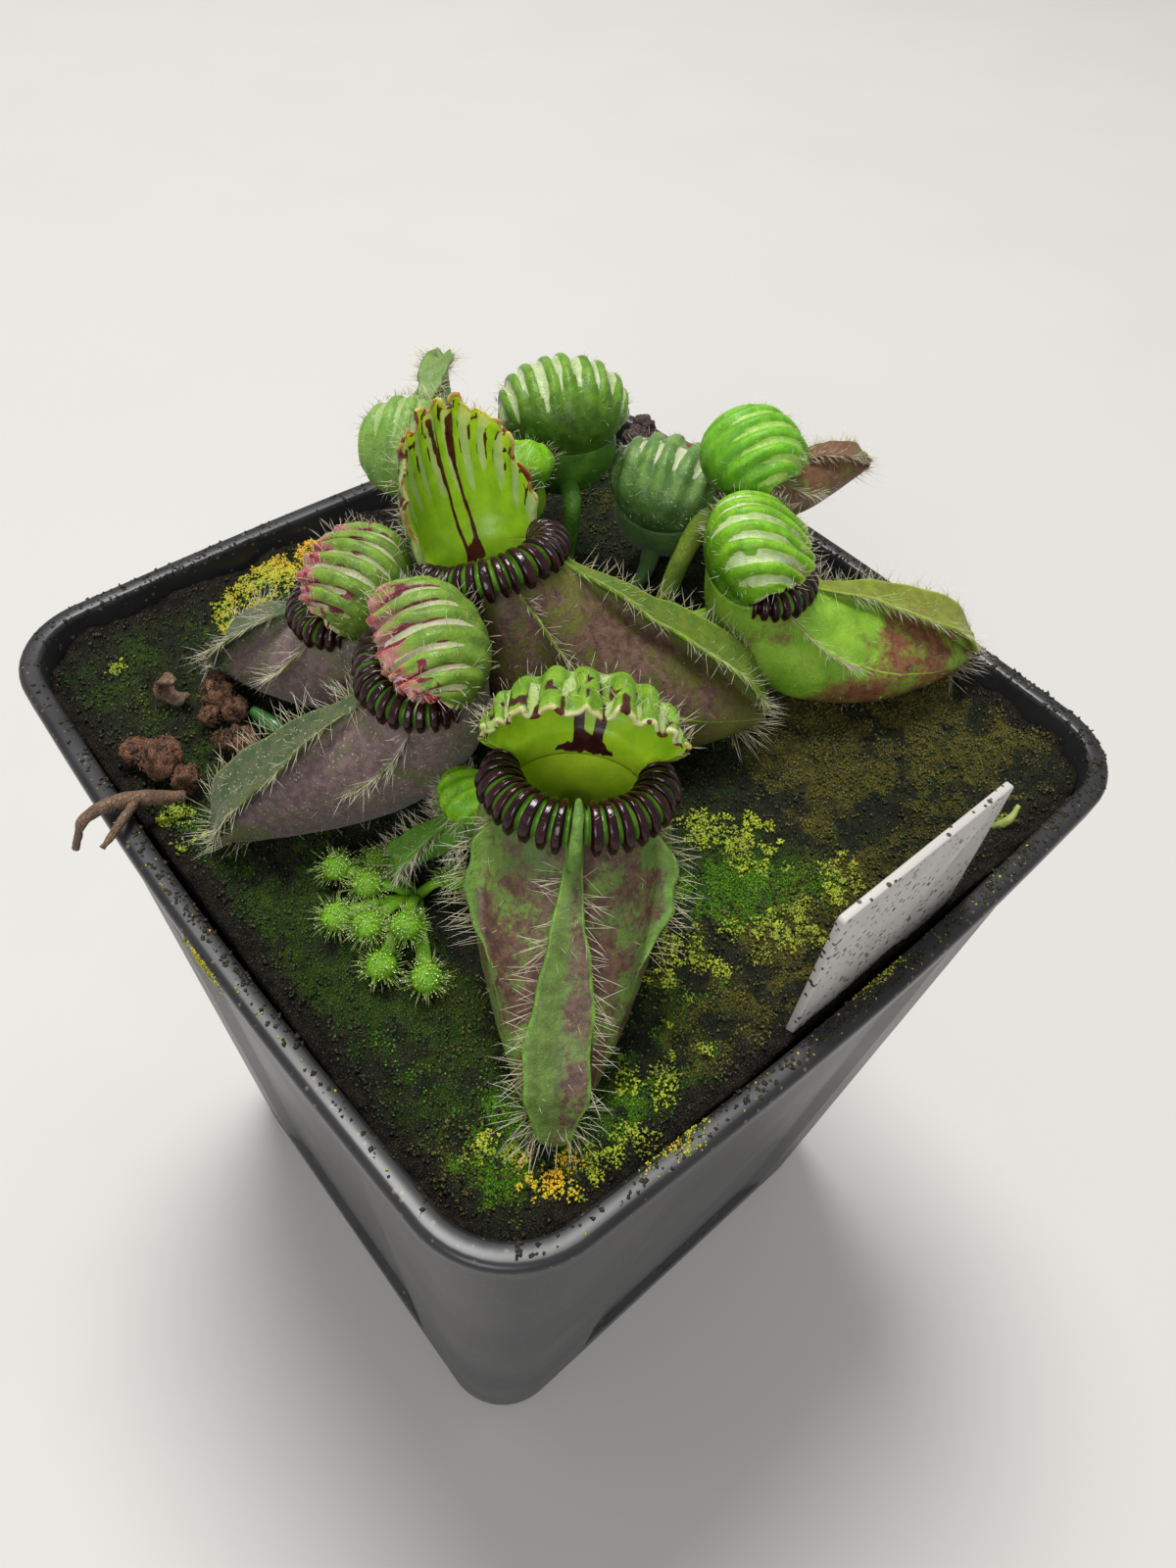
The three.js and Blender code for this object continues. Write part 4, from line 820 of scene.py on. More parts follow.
def add_pitcher_hairs(p, shell, settings):
    rng = np.random.default_rng(p.seed + 2)
    size = p.length / 22 if p.open else 0.55 + 0.03 * p.length
    long_hair = settings.hair_length * (1.0 if p.open else 0.75)
    many = size * settings.hair_share

    def grow(roots, ways, lengths, thick=0.028):
        hairs(shell, p.world(roots), p.world_way(ways), lengths, rng, thick)

    def keel_hairs(count, length):
        v = rng.uniform(0.1, 0.99, count)**0.85
        side = np.where(rng.uniform(size=count) < 0.5, -1, 1)
        half, lift = p.flange_half(v), p.keel_lift(v)
        roots = p.keel_point(v, lift, side * half)
        out = p.keel_point(v, lift + 0.45, side * (half + 1)) - p.keel_point(v, lift, side * half)
        ways = unit(out) + 0.35 * rng.normal(size=(count, 3))
        grow(roots, ways, length * rng.uniform(0.35, 1, count)**0.8)

    def crest_hairs(count, length):
        v = rng.uniform(0.25, 0.98, count)
        x = rng.uniform(-0.8, 0.8, count) * p.flange_half(v)
        lift = p.keel_lift(v)
        roots = p.keel_point(v, lift, x)
        ways = unit(p.keel_point(v, lift + 1, x) - roots) + 0.5 * rng.normal(size=(count, 3))
        grow(roots, ways, length * rng.uniform(0.3, 1, count), 0.026)

    def toe_hairs(count, length):
        v = rng.uniform(0.95, 1.0, count)
        theta = rng.uniform(-180, 180, count)
        roots = p.section(v, theta)
        middle = p.section(0.9, 0.0) * 0.5 + p.section(0.9, 180.0) * 0.5
        ways = unit(roots - middle) + 0.32 * rng.normal(size=(count, 3))
        grow(roots, ways, length * rng.uniform(0.4, 1, count))

    def wing_hairs(count, length):
        v = rng.uniform(0.06, 0.52, count)
        theta = np.where(rng.uniform(size=count) < 0.5, -WING_ANGLE, WING_ANGLE).astype(float)
        lift = p.wing_lift(v)
        roots = p.section(v, theta, 0.0, lift)
        ways = unit(p.section(v, theta, 0.0, lift + 1) - roots) + 0.32 * rng.normal(size=(count, 3))
        grow(roots, ways, length * rng.uniform(0.4, 1, count))

    def body_hairs(count, length):
        v = rng.uniform(0.08, 0.98, count)
        theta = rng.choice([-1, 1], count) * rng.uniform(12, 165, count)
        roots = p.section(v, theta)
        ways = unit(p.section(v, theta, 0.0, 1.0) - roots) + 0.5 * rng.normal(size=(count, 3))
        grow(roots, ways, length * rng.uniform(0.3, 1, count), 0.024)

    def lid_hairs(count, length, low, high):
        a = rng.uniform(-0.96, 0.96, count)
        r = rng.uniform(low, high, count)
        normal = p.lid_normal(a, r)
        roots = p.lid_point(a, r) + normal * 0.4
        ways = normal + 0.5 * rng.normal(size=(count, 3)) + np.array([0, 0, 0.3])
        hairs(shell, p.mouth_world(roots), p.mouth_way(ways), length * rng.uniform(0.3, 1, count), rng, 0.03)

    # Where they grow, how many at full size, their share of the long hairs' length, and from and to on a lid
    for where, count, share, *span in (
            (keel_hairs, 150, 0.85), (crest_hairs, 20, 0.3), (toe_hairs, 70, 1.1), (wing_hairs, 120, 0.85),
            (body_hairs, 110, 0.3), (lid_hairs, 120, 0.45, 0.05, 0.98), (lid_hairs, 80, 0.6, 0.85, 1.0)):
        where(int(count * many), share * long_hair, *span)


# Pot and soil

def square_points(half, corner, bow, along):
    """Points of a rounded square outline: along runs from 0 to 4 round its sides"""
    side = np.floor(along).astype(int) % 4
    s = 2 * (along - np.floor(along)) - 1
    turn = side * np.pi / 2
    straight = half - corner
    share = straight / half
    on_side = np.abs(s) <= share
    q = np.clip((np.abs(s) - share) / (1 - share), 0, 1) * np.pi / 4
    x = np.where(on_side, s * half, np.sign(s) * (straight + corner * np.sin(q)))
    station = np.clip(s / share, -1, 1)
    y = np.where(on_side, half + bow * np.cos(station * np.pi / 2), straight + corner * np.cos(q))
    return np.stack([x * np.cos(turn) + y * np.sin(turn), x * np.sin(turn) - y * np.cos(turn)], -1), station


def pot_half(z):
    return mix(BASE_HALF, RIM_HALF - LIP_OUT, z / POT_HEIGHT)


def pot_outline(z, out, sunk, along):
    t = z / POT_HEIGHT
    corner = mix(BASE_CORNER, RIM_CORNER, t) + out
    half = pot_half(z) + out
    xy, station = square_points(half, corner, SIDE_BOW * t, along)
    if sunk:
        depth = sunk * (1 - smooth(PANEL_SHARE, PANEL_SHARE + 0.05, np.abs(station)))
        xy = xy - side_normal(along) * depth[:, None]
    return np.column_stack([xy, np.full(len(xy), z)])


def side_normal(along):
    turn = (np.floor(along).astype(int) % 4) * np.pi / 2
    return np.stack([np.sin(turn), -np.cos(turn)], -1)


def panel_depth(z):
    rise = smooth(PANEL_LOW, PANEL_LOW + PANEL_FADE, z)
    return PANEL_DEPTH * rise * (1 - smooth(PANEL_HIGH - PANEL_FADE, PANEL_HIGH, z))


# Where the spacing of the pot's columns changes along a side, and how many columns lie in between
POT_KNOTS = (0, 0.11, 0.195, 0.235, 0.765, 0.805, 0.89, 1)
POT_COLUMNS = (6, 5, 8, 15, 8, 5, 6)


def add_pot(shell):
    side = np.concatenate([np.linspace(start, stop, count, endpoint=False)
                           for start, stop, count in zip(POT_KNOTS, POT_KNOTS[1:], POT_COLUMNS)])
    along = np.concatenate([side + k for k in range(4)])
    low = POT_HEIGHT - LIP_HEIGHT
    wall = [1, 4, *np.linspace(PANEL_LOW, PANEL_LOW + PANEL_FADE, 6), *np.linspace(12, PANEL_HIGH - 4, 10),
            *np.linspace(PANEL_HIGH - PANEL_FADE, PANEL_HIGH, 6), 90, 94, low - 0.25]
    outer = [(0, -1.2), (0.12, -0.7), (0.45, -0.25), *((z, 0) for z in wall), (low - 0.05, 0.1),
             (low, LIP_OUT - 0.35), (low + 0.08, LIP_OUT - 0.1), (low + 0.3, LIP_OUT)]
    outer += [(POT_HEIGHT - 0.8 + 0.8 * math.sin(k), LIP_OUT - 0.8 + 0.8 * math.cos(k))
              for k in (0, 0.4, 0.8, 1.2, 1.57)]
    inner = [(POT_HEIGHT, 0.4 - WALL), (POT_HEIGHT - 0.15, 0.15 - WALL), (POT_HEIGHT - 0.6, -WALL)]
    inner += [(z, -WALL) for z in (94, 90, *np.linspace(PANEL_HIGH, PANEL_HIGH - PANEL_FADE, 5), 60, 35,
                                   PANEL_LOW + PANEL_FADE, PANEL_LOW, FLOOR + 0.6)]
    inner += [(FLOOR, -WALL - 0.6)]
    rings = [pot_outline(z, out, panel_depth(z), along) for z, out in outer + inner]
    points = np.vstack([*rings, [[0, 0, 0], [0, 0, FLOOR]]])
    shell.add(points, outward(points, skin_faces(len(rings), len(along))))


def to_edge(x, y):
    """0 in the middle of the pot and 1 at its sides"""
    return np.maximum(np.abs(x), np.abs(y)) / RIM_HALF


def soil_top(x, y):
    return (SOIL_TOP + 0.25 * np.sin(0.31 * x + 1.3) * np.cos(0.27 * y - 0.6)
            + 0.12 * np.sin(0.63 * x - 0.4 * y)
            + 1.2 * smooth(0.8, 0.94, to_edge(x, y)) * (1 + 0.4 * np.sin(0.5 * x + 0.9 * y)))


def soil_crumbs(x, y):
    """Height of the crumbly ground over the plain soil top"""
    lumps = sum(share * noise_at(seed, x, y, size=size) for share, size, seed in (
        (0.26, 5.5, 3), (0.2, 2.1, 9), (0.16, 1.5, 53), (0.17, 0.5, 29)))
    return lumps + 0.32 * np.abs(noise_at(17, x, y, size=1.1)) - 0.1


def ground(x, y):
    return soil_top(x, y) + soil_crumbs(x, y)


SOIL_GRID = 176


def rounded(u, w):
    """Places in a square, drawn in to the soil's rounded outline"""
    half = pot_half(SOIL_TOP) - WALL - GAP - 0.05 + SIDE_BOW * 0.6
    corner = RIM_CORNER - WALL + 1.5
    longest = np.maximum(np.maximum(np.abs(u), np.abs(w)), 1e-9)
    small = half * np.minimum(np.abs(u), np.abs(w)) / longest
    centre = half - corner
    b = centre * (half + small)
    a = half * half + small * small
    c = 2 * centre * centre - corner * corner
    root = np.sqrt(np.maximum(b * b - a * c, 0))
    reach = np.where(small > centre, (b + root) / a, 1)
    return u * half * reach, w * half * reach


def add_soil(shell):
    n = SOIL_GRID
    line = np.linspace(-1, 1, n)
    line = np.sign(line) * np.abs(line)**0.97
    w, u = np.meshgrid(line, line, indexing="ij")
    x, y = rounded(u, w)
    top = np.stack([x, y, ground(x, y)], -1).reshape(-1, 3)
    index = np.arange(n * n).reshape(n, n)
    loop = np.concatenate([index[0, :-1], index[:-1, -1], index[-1, :0:-1], index[:0:-1, 0]])
    edge = top[loop]
    rings = []
    for z_ring, inset in ((SOIL_TOP - 1.5, 0.1), (SOIL_CROWN, 0.1), (PANEL_HIGH - 1.4, PANEL_DEPTH + 0.1),
                          (FLOOR + GAP, PANEL_DEPTH + 0.1)):
        share = (pot_half(z_ring) - WALL - GAP - inset) / (pot_half(SOIL_TOP) - WALL - GAP - 0.05)
        rings.append(np.column_stack([edge[:, :2] * share, np.full(len(edge), z_ring)]))
    count = len(loop)
    points = np.vstack([top, *rings, [[0, 0, FLOOR + GAP]]])
    faces = [grid_faces(n, n)]
    before = loop
    for k in range(len(rings)):
        ring = n * n + k * count + np.arange(count)
        faces.append(np.stack([np.roll(before, -1), before, ring, np.roll(ring, -1)], -1))
        before = ring
    faces.append(fan_faces(before, len(points) - 1, flip=True))
    marks = np.zeros((len(points), 4))
    marks[:n * n] = ground_marks(top)
    shell.add(points, outward(points, faces), marks)


# Moss: where each kind grows on the soil, as ellipses (x, y, half sizes, turn, density)

MOSS_PATCHES = {
    "yellow": [(4, -22.8, 5.5, 2.6, -50, 1), (9.4, -32.2, 1.8, 1.2, -20, 1), (7.4, -35, 1.9, 1.3, -20, 1),
               (-1, -33.8, 6.5, 2.4, -30, 0.8), (-8, -32.5, 6.5, 3.4, -38, 0.6),
               (-20, -36.6, 4.6, 3.4, 0, 0.5), (-27, -40, 3.6, 1.5, -10, 0.9),
               (-36.4, -32.2, 1.5, 1.8, 0, 1), (-35, -35.2, 1.2, 1.4, 0, 1), (-33.8, -38.2, 2.4, 3.0, 20, 1),
               (-31.6, -40.4, 1.2, 0.8, 0, 0.8), (-39.6, 12.8, 1.8, 2.4, 0, 0.9),
               (-40, 8.6, 1.4, 1.4, 0, 0.8), (-34.5, 35.6, 0.9, 0.8, 0, 1), (27, -40, 1.2, 0.7, 20, 0.8),
               (3, -27.4, 3, 1, -40, 0.4)],
    "golden": [(-11, 39.8, 10, 3.4, 13, 1), (-18, 37.2, 4.5, 3, 40, 1)],
    "bright": [(-1.5, -28, 6.5, 4, -38, 0.9), (-33.6, -34.6, 5, 6, 20, 0.7), (-26, -37.4, 5, 3, -20, 0.6),
               (-20, -36, 6, 4, -20, 0.5), (-10, -31, 6, 4, -38, 0.5), (-38, -22, 2.5, 5, 10, 0.25),
               (-11, 38, 10, 4, 13, 0.5), (-38, 10, 3, 5, 0, 0.4), (4.5, -31.5, 4, 2.5, -38, 0.6)],
    "green": [(-36, -8, 9, 14, 20, 0.8), (-35, -22, 9, 12, -20, 0.8), (-1, -27, 10, 7, -38, 0.9),
              (-24, -35, 13, 8, -20, 0.8), (-33, 14, 9, 14, 0, 0.7), (-33, 33, 10, 9, 0, 0.5),
              (-12, 36, 12, 5, 13, 0.6), (10, -31, 9, 6, -38, 0.35), (28, -27, 10, 9, -38, 0.35),
              (36, -10, 6, 14, 0, 0.4), (30, 20, 12, 18, 0, 0.5), (0, 0, 30, 30, 0, 0.4)],
    "olive": [(24, -21, 17, 12, -38, 1), (8, -36, 13, 5, -10, 0.9), (-14, -38, 9, 3.6, -10, 0.9),
              (-5, -34, 9, 4.5, -35, 1), (33, -33, 9, 7, 0, 0.7), (-22, -27, 14, 8, -20, 0.3),
              (13, -25, 6, 5, -38, 0.8), (34, -6, 6, 12, 0, 0.5), (-31, 27, 8, 8, 0, 0.25),
              (34, 22, 8, 16, 0, 0.4), (20, 36, 16, 5, 0, 0.4), (-37, -33, 4, 6, 20, 0.4),
              (24, -36, 10, 4, -10, 0.6)],
}

# Where the yellow moss turns orange: middle and radius
ORANGE_SPOT = (-33.8, -38.2, 3.1)


def patch_cover(kind, x, y):
    """How thickly one kind of moss covers a place, 0 to 1"""
    cover = np.zeros_like(x)
    ragged = 0.55 * fractal(np.stack([x, y, 0 * x], -1), 5, 3, 41) + 0.25 * noise_at(47, x, y, size=1.3)
    for cx, cy, half_x, half_y, turn, share in MOSS_PATCHES[kind]:
        c, s = math.cos(math.radians(turn)), math.sin(math.radians(turn))
        dx, dy = x - cx, y - cy
        d = np.hypot((dx * c + dy * s) / half_x, (dy * c - dx * s) / half_y)
        cover = np.maximum(cover, share * (1 - smooth(0.7, 1.15, d + ragged)))
    return cover


def ground_marks(points):
    x, y = points[:, 0], points[:, 1]
    moss = [patch_cover(kind, x, y) * cushions(x, y) for kind in ("green", "olive", "bright")]
    return np.stack([*moss, smooth(0.84, 0.95, to_edge(x, y))], -1)


def cushions(x, y):
    """Share by which the moss shows, less in the gaps between its cushions"""
    return np.clip(0.75 + 0.7 * noise_at(53, x, y, size=1.5) + 0.5 * noise_at(59, x, y, size=4), 0.1, 1.3)


def free_places(count, rng, cover):
    """Random places on the soil, thickest where the cover is thick"""
    half = pot_half(SOIL_TOP) - WALL - GAP - 0.4
    corner = RIM_CORNER - 2
    x, y = rng.uniform(-half, half, (2, 16 * count))
    fits = np.hypot(np.maximum(np.abs(x) - (half - corner), 0), np.maximum(np.abs(y) - (half - corner), 0))
    keep = (fits < corner) & (rng.uniform(size=len(x)) < cover(x, y))
    return x[keep][:count], y[keep][:count]


def clusters(count, rng, cover, biggest=1.5):
    """Places of flakes that crowd in small lobed rosettes; their tone runs with the rosette"""
    x, y = free_places(count, rng, cover)
    n = len(x)
    radius = 0.3 + biggest * rng.uniform(size=n)**2.4
    owner = np.repeat(np.arange(n), (12 + 34 * radius**1.6).astype(int))
    angle = rng.uniform(0, 2 * np.pi, len(owner))
    lobes = 1 + 0.35 * np.sin(angle * rng.integers(3, 7, n)[owner] + rng.uniform(0, 6, n)[owner])
    share = np.sqrt(rng.uniform(0.02, 1, len(owner)))
    reach = radius[owner] * lobes * share
    rise = 0.22 * (1 - share**2) * np.minimum(radius[owner], 1)
    x, y = x[owner] + reach * np.cos(angle), y[owner] + reach * np.sin(angle)
    return x, y, rise, rng.uniform(0, 1, n)[owner]


def add_grains(shell, x, y, rng, sizes, squash, rise=0.0, tone=None, warm=None, lift=None, sides=3):
    """Small rough grains at the given places of the ground, or at the heights in lift"""
    n = len(x)
    size = rng.uniform(*sizes, n)
    unit_ball, faces = ball(1, 1, sides)
    shape = unit_ball[None] * rng.uniform(0.6, 1.35, (n, len(unit_ball), 1))
    turn = rng.uniform(0, 2 * np.pi, n)
    c, s = np.cos(turn)[:, None], np.sin(turn)[:, None]
    tilt = rng.normal(0, 0.4, (n, 2))
    px = (shape[..., 0] * c - shape[..., 1] * s) * size[:, None]
    py = (shape[..., 0] * s + shape[..., 1] * c) * size[:, None]
    pz = shape[..., 2] * size[:, None] * squash + tilt[:, :1] * px + tilt[:, 1:] * py
    base = ground(x, y) + 0.7 * size * squash + rise if lift is None else lift
    points = np.stack([px + x[:, None], py + y[:, None], pz + base[:, None]], -1).reshape(-1, 3)
    start = (len(unit_ball) * np.arange(n))[:, None, None]
    blocks = [(block[None] + start).reshape(-1, block.shape[1]) for block in faces]
    own = rng.uniform(0, 1, n)
    tone = own if tone is None else 0.7 * tone + 0.3 * own
    warm = rng.uniform(0, 1, n)**2 if warm is None else warm
    height = np.tile(unit_ball[:, 2] * 0.5 + 0.5, n)
    marks = [np.repeat(tone, len(unit_ball)), height, np.repeat(warm, len(unit_ball)), 0 * height]
    shell.add(points, blocks, np.stack(marks, -1))


# Algae and dirt on the rim: from and to along its sides, from and to outwards, how far they hang down,
# and how many grains
RIM_ALGAE = [(0.165, 0.25, -1.2, -0.5, 0.3, 260), (0.2, 0.24, -1.0, 0.7, 0, 50),
             (0.46, 0.54, -1.2, -0.4, 0.3, 240), (3.52, 3.59, 1.15, 1.22, 1.8, 140),
             (0.1, 0.85, -0.9, 0.6, 0, 50), (3.2, 3.9, -0.9, 0.6, 0, 30)]
RIM_DIRT = [(0.02, 0.98, -1.1, 0.4, 0, 420), (0.72, 1.3, -1.2, 0.9, 0.2, 620), (1.2, 1.8, -1.0, 0.4, 0, 260),
            (1.9, 2.5, -1.0, 0.6, 0, 260), (2.5, 3.05, -1.1, 0.8, 0.2, 420), (3.1, 3.9, -1.1, 0.2, 0, 260)]


def add_rim_specks(shell, rng, places, sizes):
    for start, stop, near, far, fall, count in places:
        along = mix(start, stop, 0.5 + 0.5 * np.clip(rng.normal(0, 0.5, count), -1, 1))
        out = rng.uniform(near, far, count)
        rim = pot_outline(POT_HEIGHT, out, 0, along)
        z = POT_HEIGHT + 0.03 - fall * rng.uniform(0, 1, count) - 0.1 * (out > 0.7)
        add_grains(shell, rim[:, 0], rim[:, 1], rng, sizes, 0.6, lift=z, sides=4)


# Materials

def socket_in(tree, node, name, value):
    socket = node.inputs[name]
    if isinstance(value, bpy.types.NodeSocket):
        tree.links.new(value, socket)
    elif socket.type == "RGBA":
        socket.default_value = (*value, 1)
    else:
        socket.default_value = value


def add_node(tree, kind, inputs=None, **settings):
    node = tree.nodes.new(kind)
    for key, value in settings.items():
        setattr(node, key, value)
    for name, value in (inputs or {}).items():
        socket_in(tree, node, name, value)
    return node


def maths(tree, operation, a, b=0.5, clamp=False):
    return add_node(tree, "ShaderNodeMath", {0: a, 1: b}, operation=operation, use_clamp=clamp).outputs[0]


def blend(tree, share, a, b):
    node = add_node(tree, "ShaderNodeMix", data_type="RGBA", clamp_factor=True)
    for index, value in ((0, share), (6, a), (7, b)):
        socket_in(tree, node, index, value)
    return node.outputs[2]


def remap(tree, value, low, high, to_low=0.0, to_high=1.0):
    return add_node(tree, "ShaderNodeMapRange", {
        "Value": value, "From Min": low, "From Max": high, "To Min": to_low, "To Max": to_high},
        interpolation_type="SMOOTHSTEP").outputs[0]


def group_tree(name, output, inputs):
    """Node group with inputs given as names and values, and one output"""
    tree = bpy.data.node_groups.new(name, "ShaderNodeTree")
    for label, default in inputs.items():
        kind = "Color" if isinstance(default, tuple) else "Float"
        socket = tree.interface.new_socket(label, in_out="INPUT", socket_type=f"NodeSocket{kind}")
        socket.default_value = (*default, 1) if kind == "Color" else default
    kind = "Color" if output == "Colour" else "Float"
    tree.interface.new_socket(output, in_out="OUTPUT", socket_type=f"NodeSocket{kind}")
    out = tree.nodes.new("NodeGroupOutput")

    def finish(value):
        tree.links.new(value, out.inputs[output])
        return tree

    return tree, tree.nodes.new("NodeGroupInput").outputs, finish


def soft_step(tree, value, half):
    """Rises from 0 to 1 as the value passes a half"""
    return remap(tree, value, maths(tree, "SUBTRACT", 0.5, half), maths(tree, "ADD", 0.5, half))


def cells(tree, scale, **settings):
    place = add_node(tree, "ShaderNodeTexCoord").outputs["Object"]
    node = add_node(tree, "ShaderNodeTexVoronoi", {"Vector": place, "Scale": scale}, **settings)
    return node.outputs["Distance"]


def place_noise(tree, scale, detail=3.0):
    place = add_node(tree, "ShaderNodeTexCoord").outputs["Object"]
    return add_node(tree, "ShaderNodeTexNoise", {
        "Vector": place, "Scale": scale, "Detail": detail, "Roughness": 0.55}).outputs["Fac"]


def build_tint_group():
    """Two colours that mix in soft blotches"""
    tree, given, finish = group_tree("Blotched tint", "Colour", {
        "Colour": (0.2, 0.4, 0.1), "Second colour": (0.1, 0.3, 0.1), "Scale": 300.0, "Contrast": 0.12})
    share = soft_step(tree, place_noise(tree, given["Scale"]), given["Contrast"])
    return finish(blend(tree, share, given["Colour"], given["Second colour"]))


def build_ragged_group():
    """A painted mask whose border is broken up by noise"""
    tree, given, finish = group_tree("Ragged mask", "Mask", {
        "Mask": 0.0, "Scale": 1500.0, "Raggedness": 0.5, "Softness": 0.15})
    noise = maths(tree, "SUBTRACT", place_noise(tree, given["Scale"], 4.0), 0.5)
    pushed = maths(tree, "ADD", given["Mask"], maths(tree, "MULTIPLY", noise, given["Raggedness"]))
    return finish(soft_step(tree, pushed, given["Softness"]))


def build_speck_group():
    """Small round specks, some larger than others"""
    tree, given, finish = group_tree("Specks", "Mask", {"Scale": 2000.0, "Share": 0.3})
    few = place_noise(tree, maths(tree, "MULTIPLY", given["Scale"], 0.35), 1.0)
    edge = maths(tree, "MULTIPLY", maths(tree, "MULTIPLY", given["Share"], few), 2.0)
    return finish(remap(tree, maths(tree, "SUBTRACT", edge, cells(tree, given["Scale"])), 0.0, 0.12))


def build_relief_group():
    """Height of fine bumps over soft lumps and a net of creases"""
    tree, given, finish = group_tree("Leaf relief", "Height", {
        "Bump scale": 3000.0, "Lump scale": 700.0, "Crease": 0.4})
    fine = place_noise(tree, given["Bump scale"], 2.0)
    lumps = place_noise(tree, given["Lump scale"], 3.0)
    net = cells(tree, maths(tree, "MULTIPLY", given["Lump scale"], 1.6), feature="DISTANCE_TO_EDGE")
    crease = maths(tree, "MULTIPLY", remap(tree, net, 0.0, 0.12), given["Crease"])
    height = maths(tree, "ADD", maths(tree, "MULTIPLY", fine, 0.45), lumps)
    return finish(maths(tree, "ADD", height, crease))


GROUPS = {}


def group_node(tree, name, inputs):
    if name not in GROUPS:
        GROUPS[name] = {"Blotched tint": build_tint_group, "Ragged mask": build_ragged_group,
                        "Specks": build_speck_group, "Leaf relief": build_relief_group}[name]()
    node = tree.nodes.new("ShaderNodeGroup")
    node.node_tree = GROUPS[name]
    for label, value in inputs.items():
        socket_in(tree, node, label, value)
    return node


def painted(name, ground, layers=(), rough=(0.4, 0.58), rough_scale=900.0, relief=(3000.0, 1200.0, 0.15),
            height=0.00014, shader=None, specks=None):
    """Material with a blotched ground colour and a layer of colour for each mark of the mesh.

    ground: colour, second colour, scale, contrast. layers: mark (R, G, B or A), colour, second colour,
    scale, raggedness, softness.
    """
    material = bpy.data.materials.new(name)
    material.use_nodes = True
    tree = material.node_tree
    principled = tree.nodes["Principled BSDF"]
    marks = add_node(tree, "ShaderNodeAttribute", attribute_name="marks")
    split = add_node(tree, "ShaderNodeSeparateColor", {"Color": marks.outputs["Color"]})
    channel = {"R": split.outputs["Red"], "G": split.outputs["Green"], "B": split.outputs["Blue"],
               "A": marks.outputs["Alpha"]}
    labels = ("Colour", "Second colour", "Scale", "Contrast")
    colour = group_node(tree, "Blotched tint", dict(zip(labels, ground))).outputs["Colour"]
    for mark, first, second, scale, ragged, soft in layers:
        mask = group_node(tree, "Ragged mask", {
            "Mask": channel[mark], "Scale": scale, "Raggedness": ragged, "Softness": soft}).outputs["Mask"]
        tint = group_node(tree, "Blotched tint", dict(zip(labels, (first, second, 0.6 * scale, 0.15))))
        colour = blend(tree, mask, colour, tint.outputs["Colour"])
    if specks:
        speck_colour, scale, share = specks
        mask = group_node(tree, "Specks", {"Scale": scale, "Share": share}).outputs["Mask"]
        colour = blend(tree, mask, colour, speck_colour)
    tree.links.new(colour, principled.inputs["Base Color"])
    tree.links.new(remap(tree, place_noise(tree, rough_scale), 0.35, 0.65, *rough),
                   principled.inputs["Roughness"])
    if relief:
        shape = group_node(tree, "Leaf relief", {
            "Bump scale": relief[0], "Lump scale": relief[1], "Crease": relief[2]}).outputs["Height"]
        bump = add_node(tree, "ShaderNodeBump", {"Height": shape, "Strength": 1.0, "Distance": height})
        tree.links.new(bump.outputs["Normal"], principled.inputs["Normal"])
    for socket, value in (shader or {}).items():
        principled.inputs[socket].default_value = value
    return material


LEAF = {"Subsurface Weight": 0.3, "Subsurface Radius": (0.0016, 0.0014, 0.0005), "Subsurface Scale": 1.0,
        "Coat Weight": 0.08, "Coat Roughness": 0.3, "Specular IOR Level": 0.2}
LIT_LEAF = {**LEAF, "Subsurface Weight": 0.7, "Subsurface Radius": (0.0026, 0.0024, 0.0007)}
VELVET = {**LEAF, "Subsurface Weight": 0.2, "Sheen Weight": 0.12, "Sheen Roughness": 0.4, "Coat Weight": 0.0}
GLOSSY = {"Coat Weight": 0.3, "Coat Roughness": 0.08, "Specular IOR Level": 0.2}
WET = {"Specular IOR Level": 0.1}


def open_skin(ground, flange, flush, edges, specks, shader=LEAF):
    return dict(ground=(*ground, 260, 0.15), shader=shader, specks=specks,
                layers=[("G", *flange), ("R", *flush), ("B", *edges)])


def young_skin(ground, flange, specks=None, shader=LEAF, flush=()):
    return dict(ground=(*ground, 400, 0.15), shader=shader, specks=specks,
                layers=[("G", *flange, 900, 0.2, 0.1), *flush])


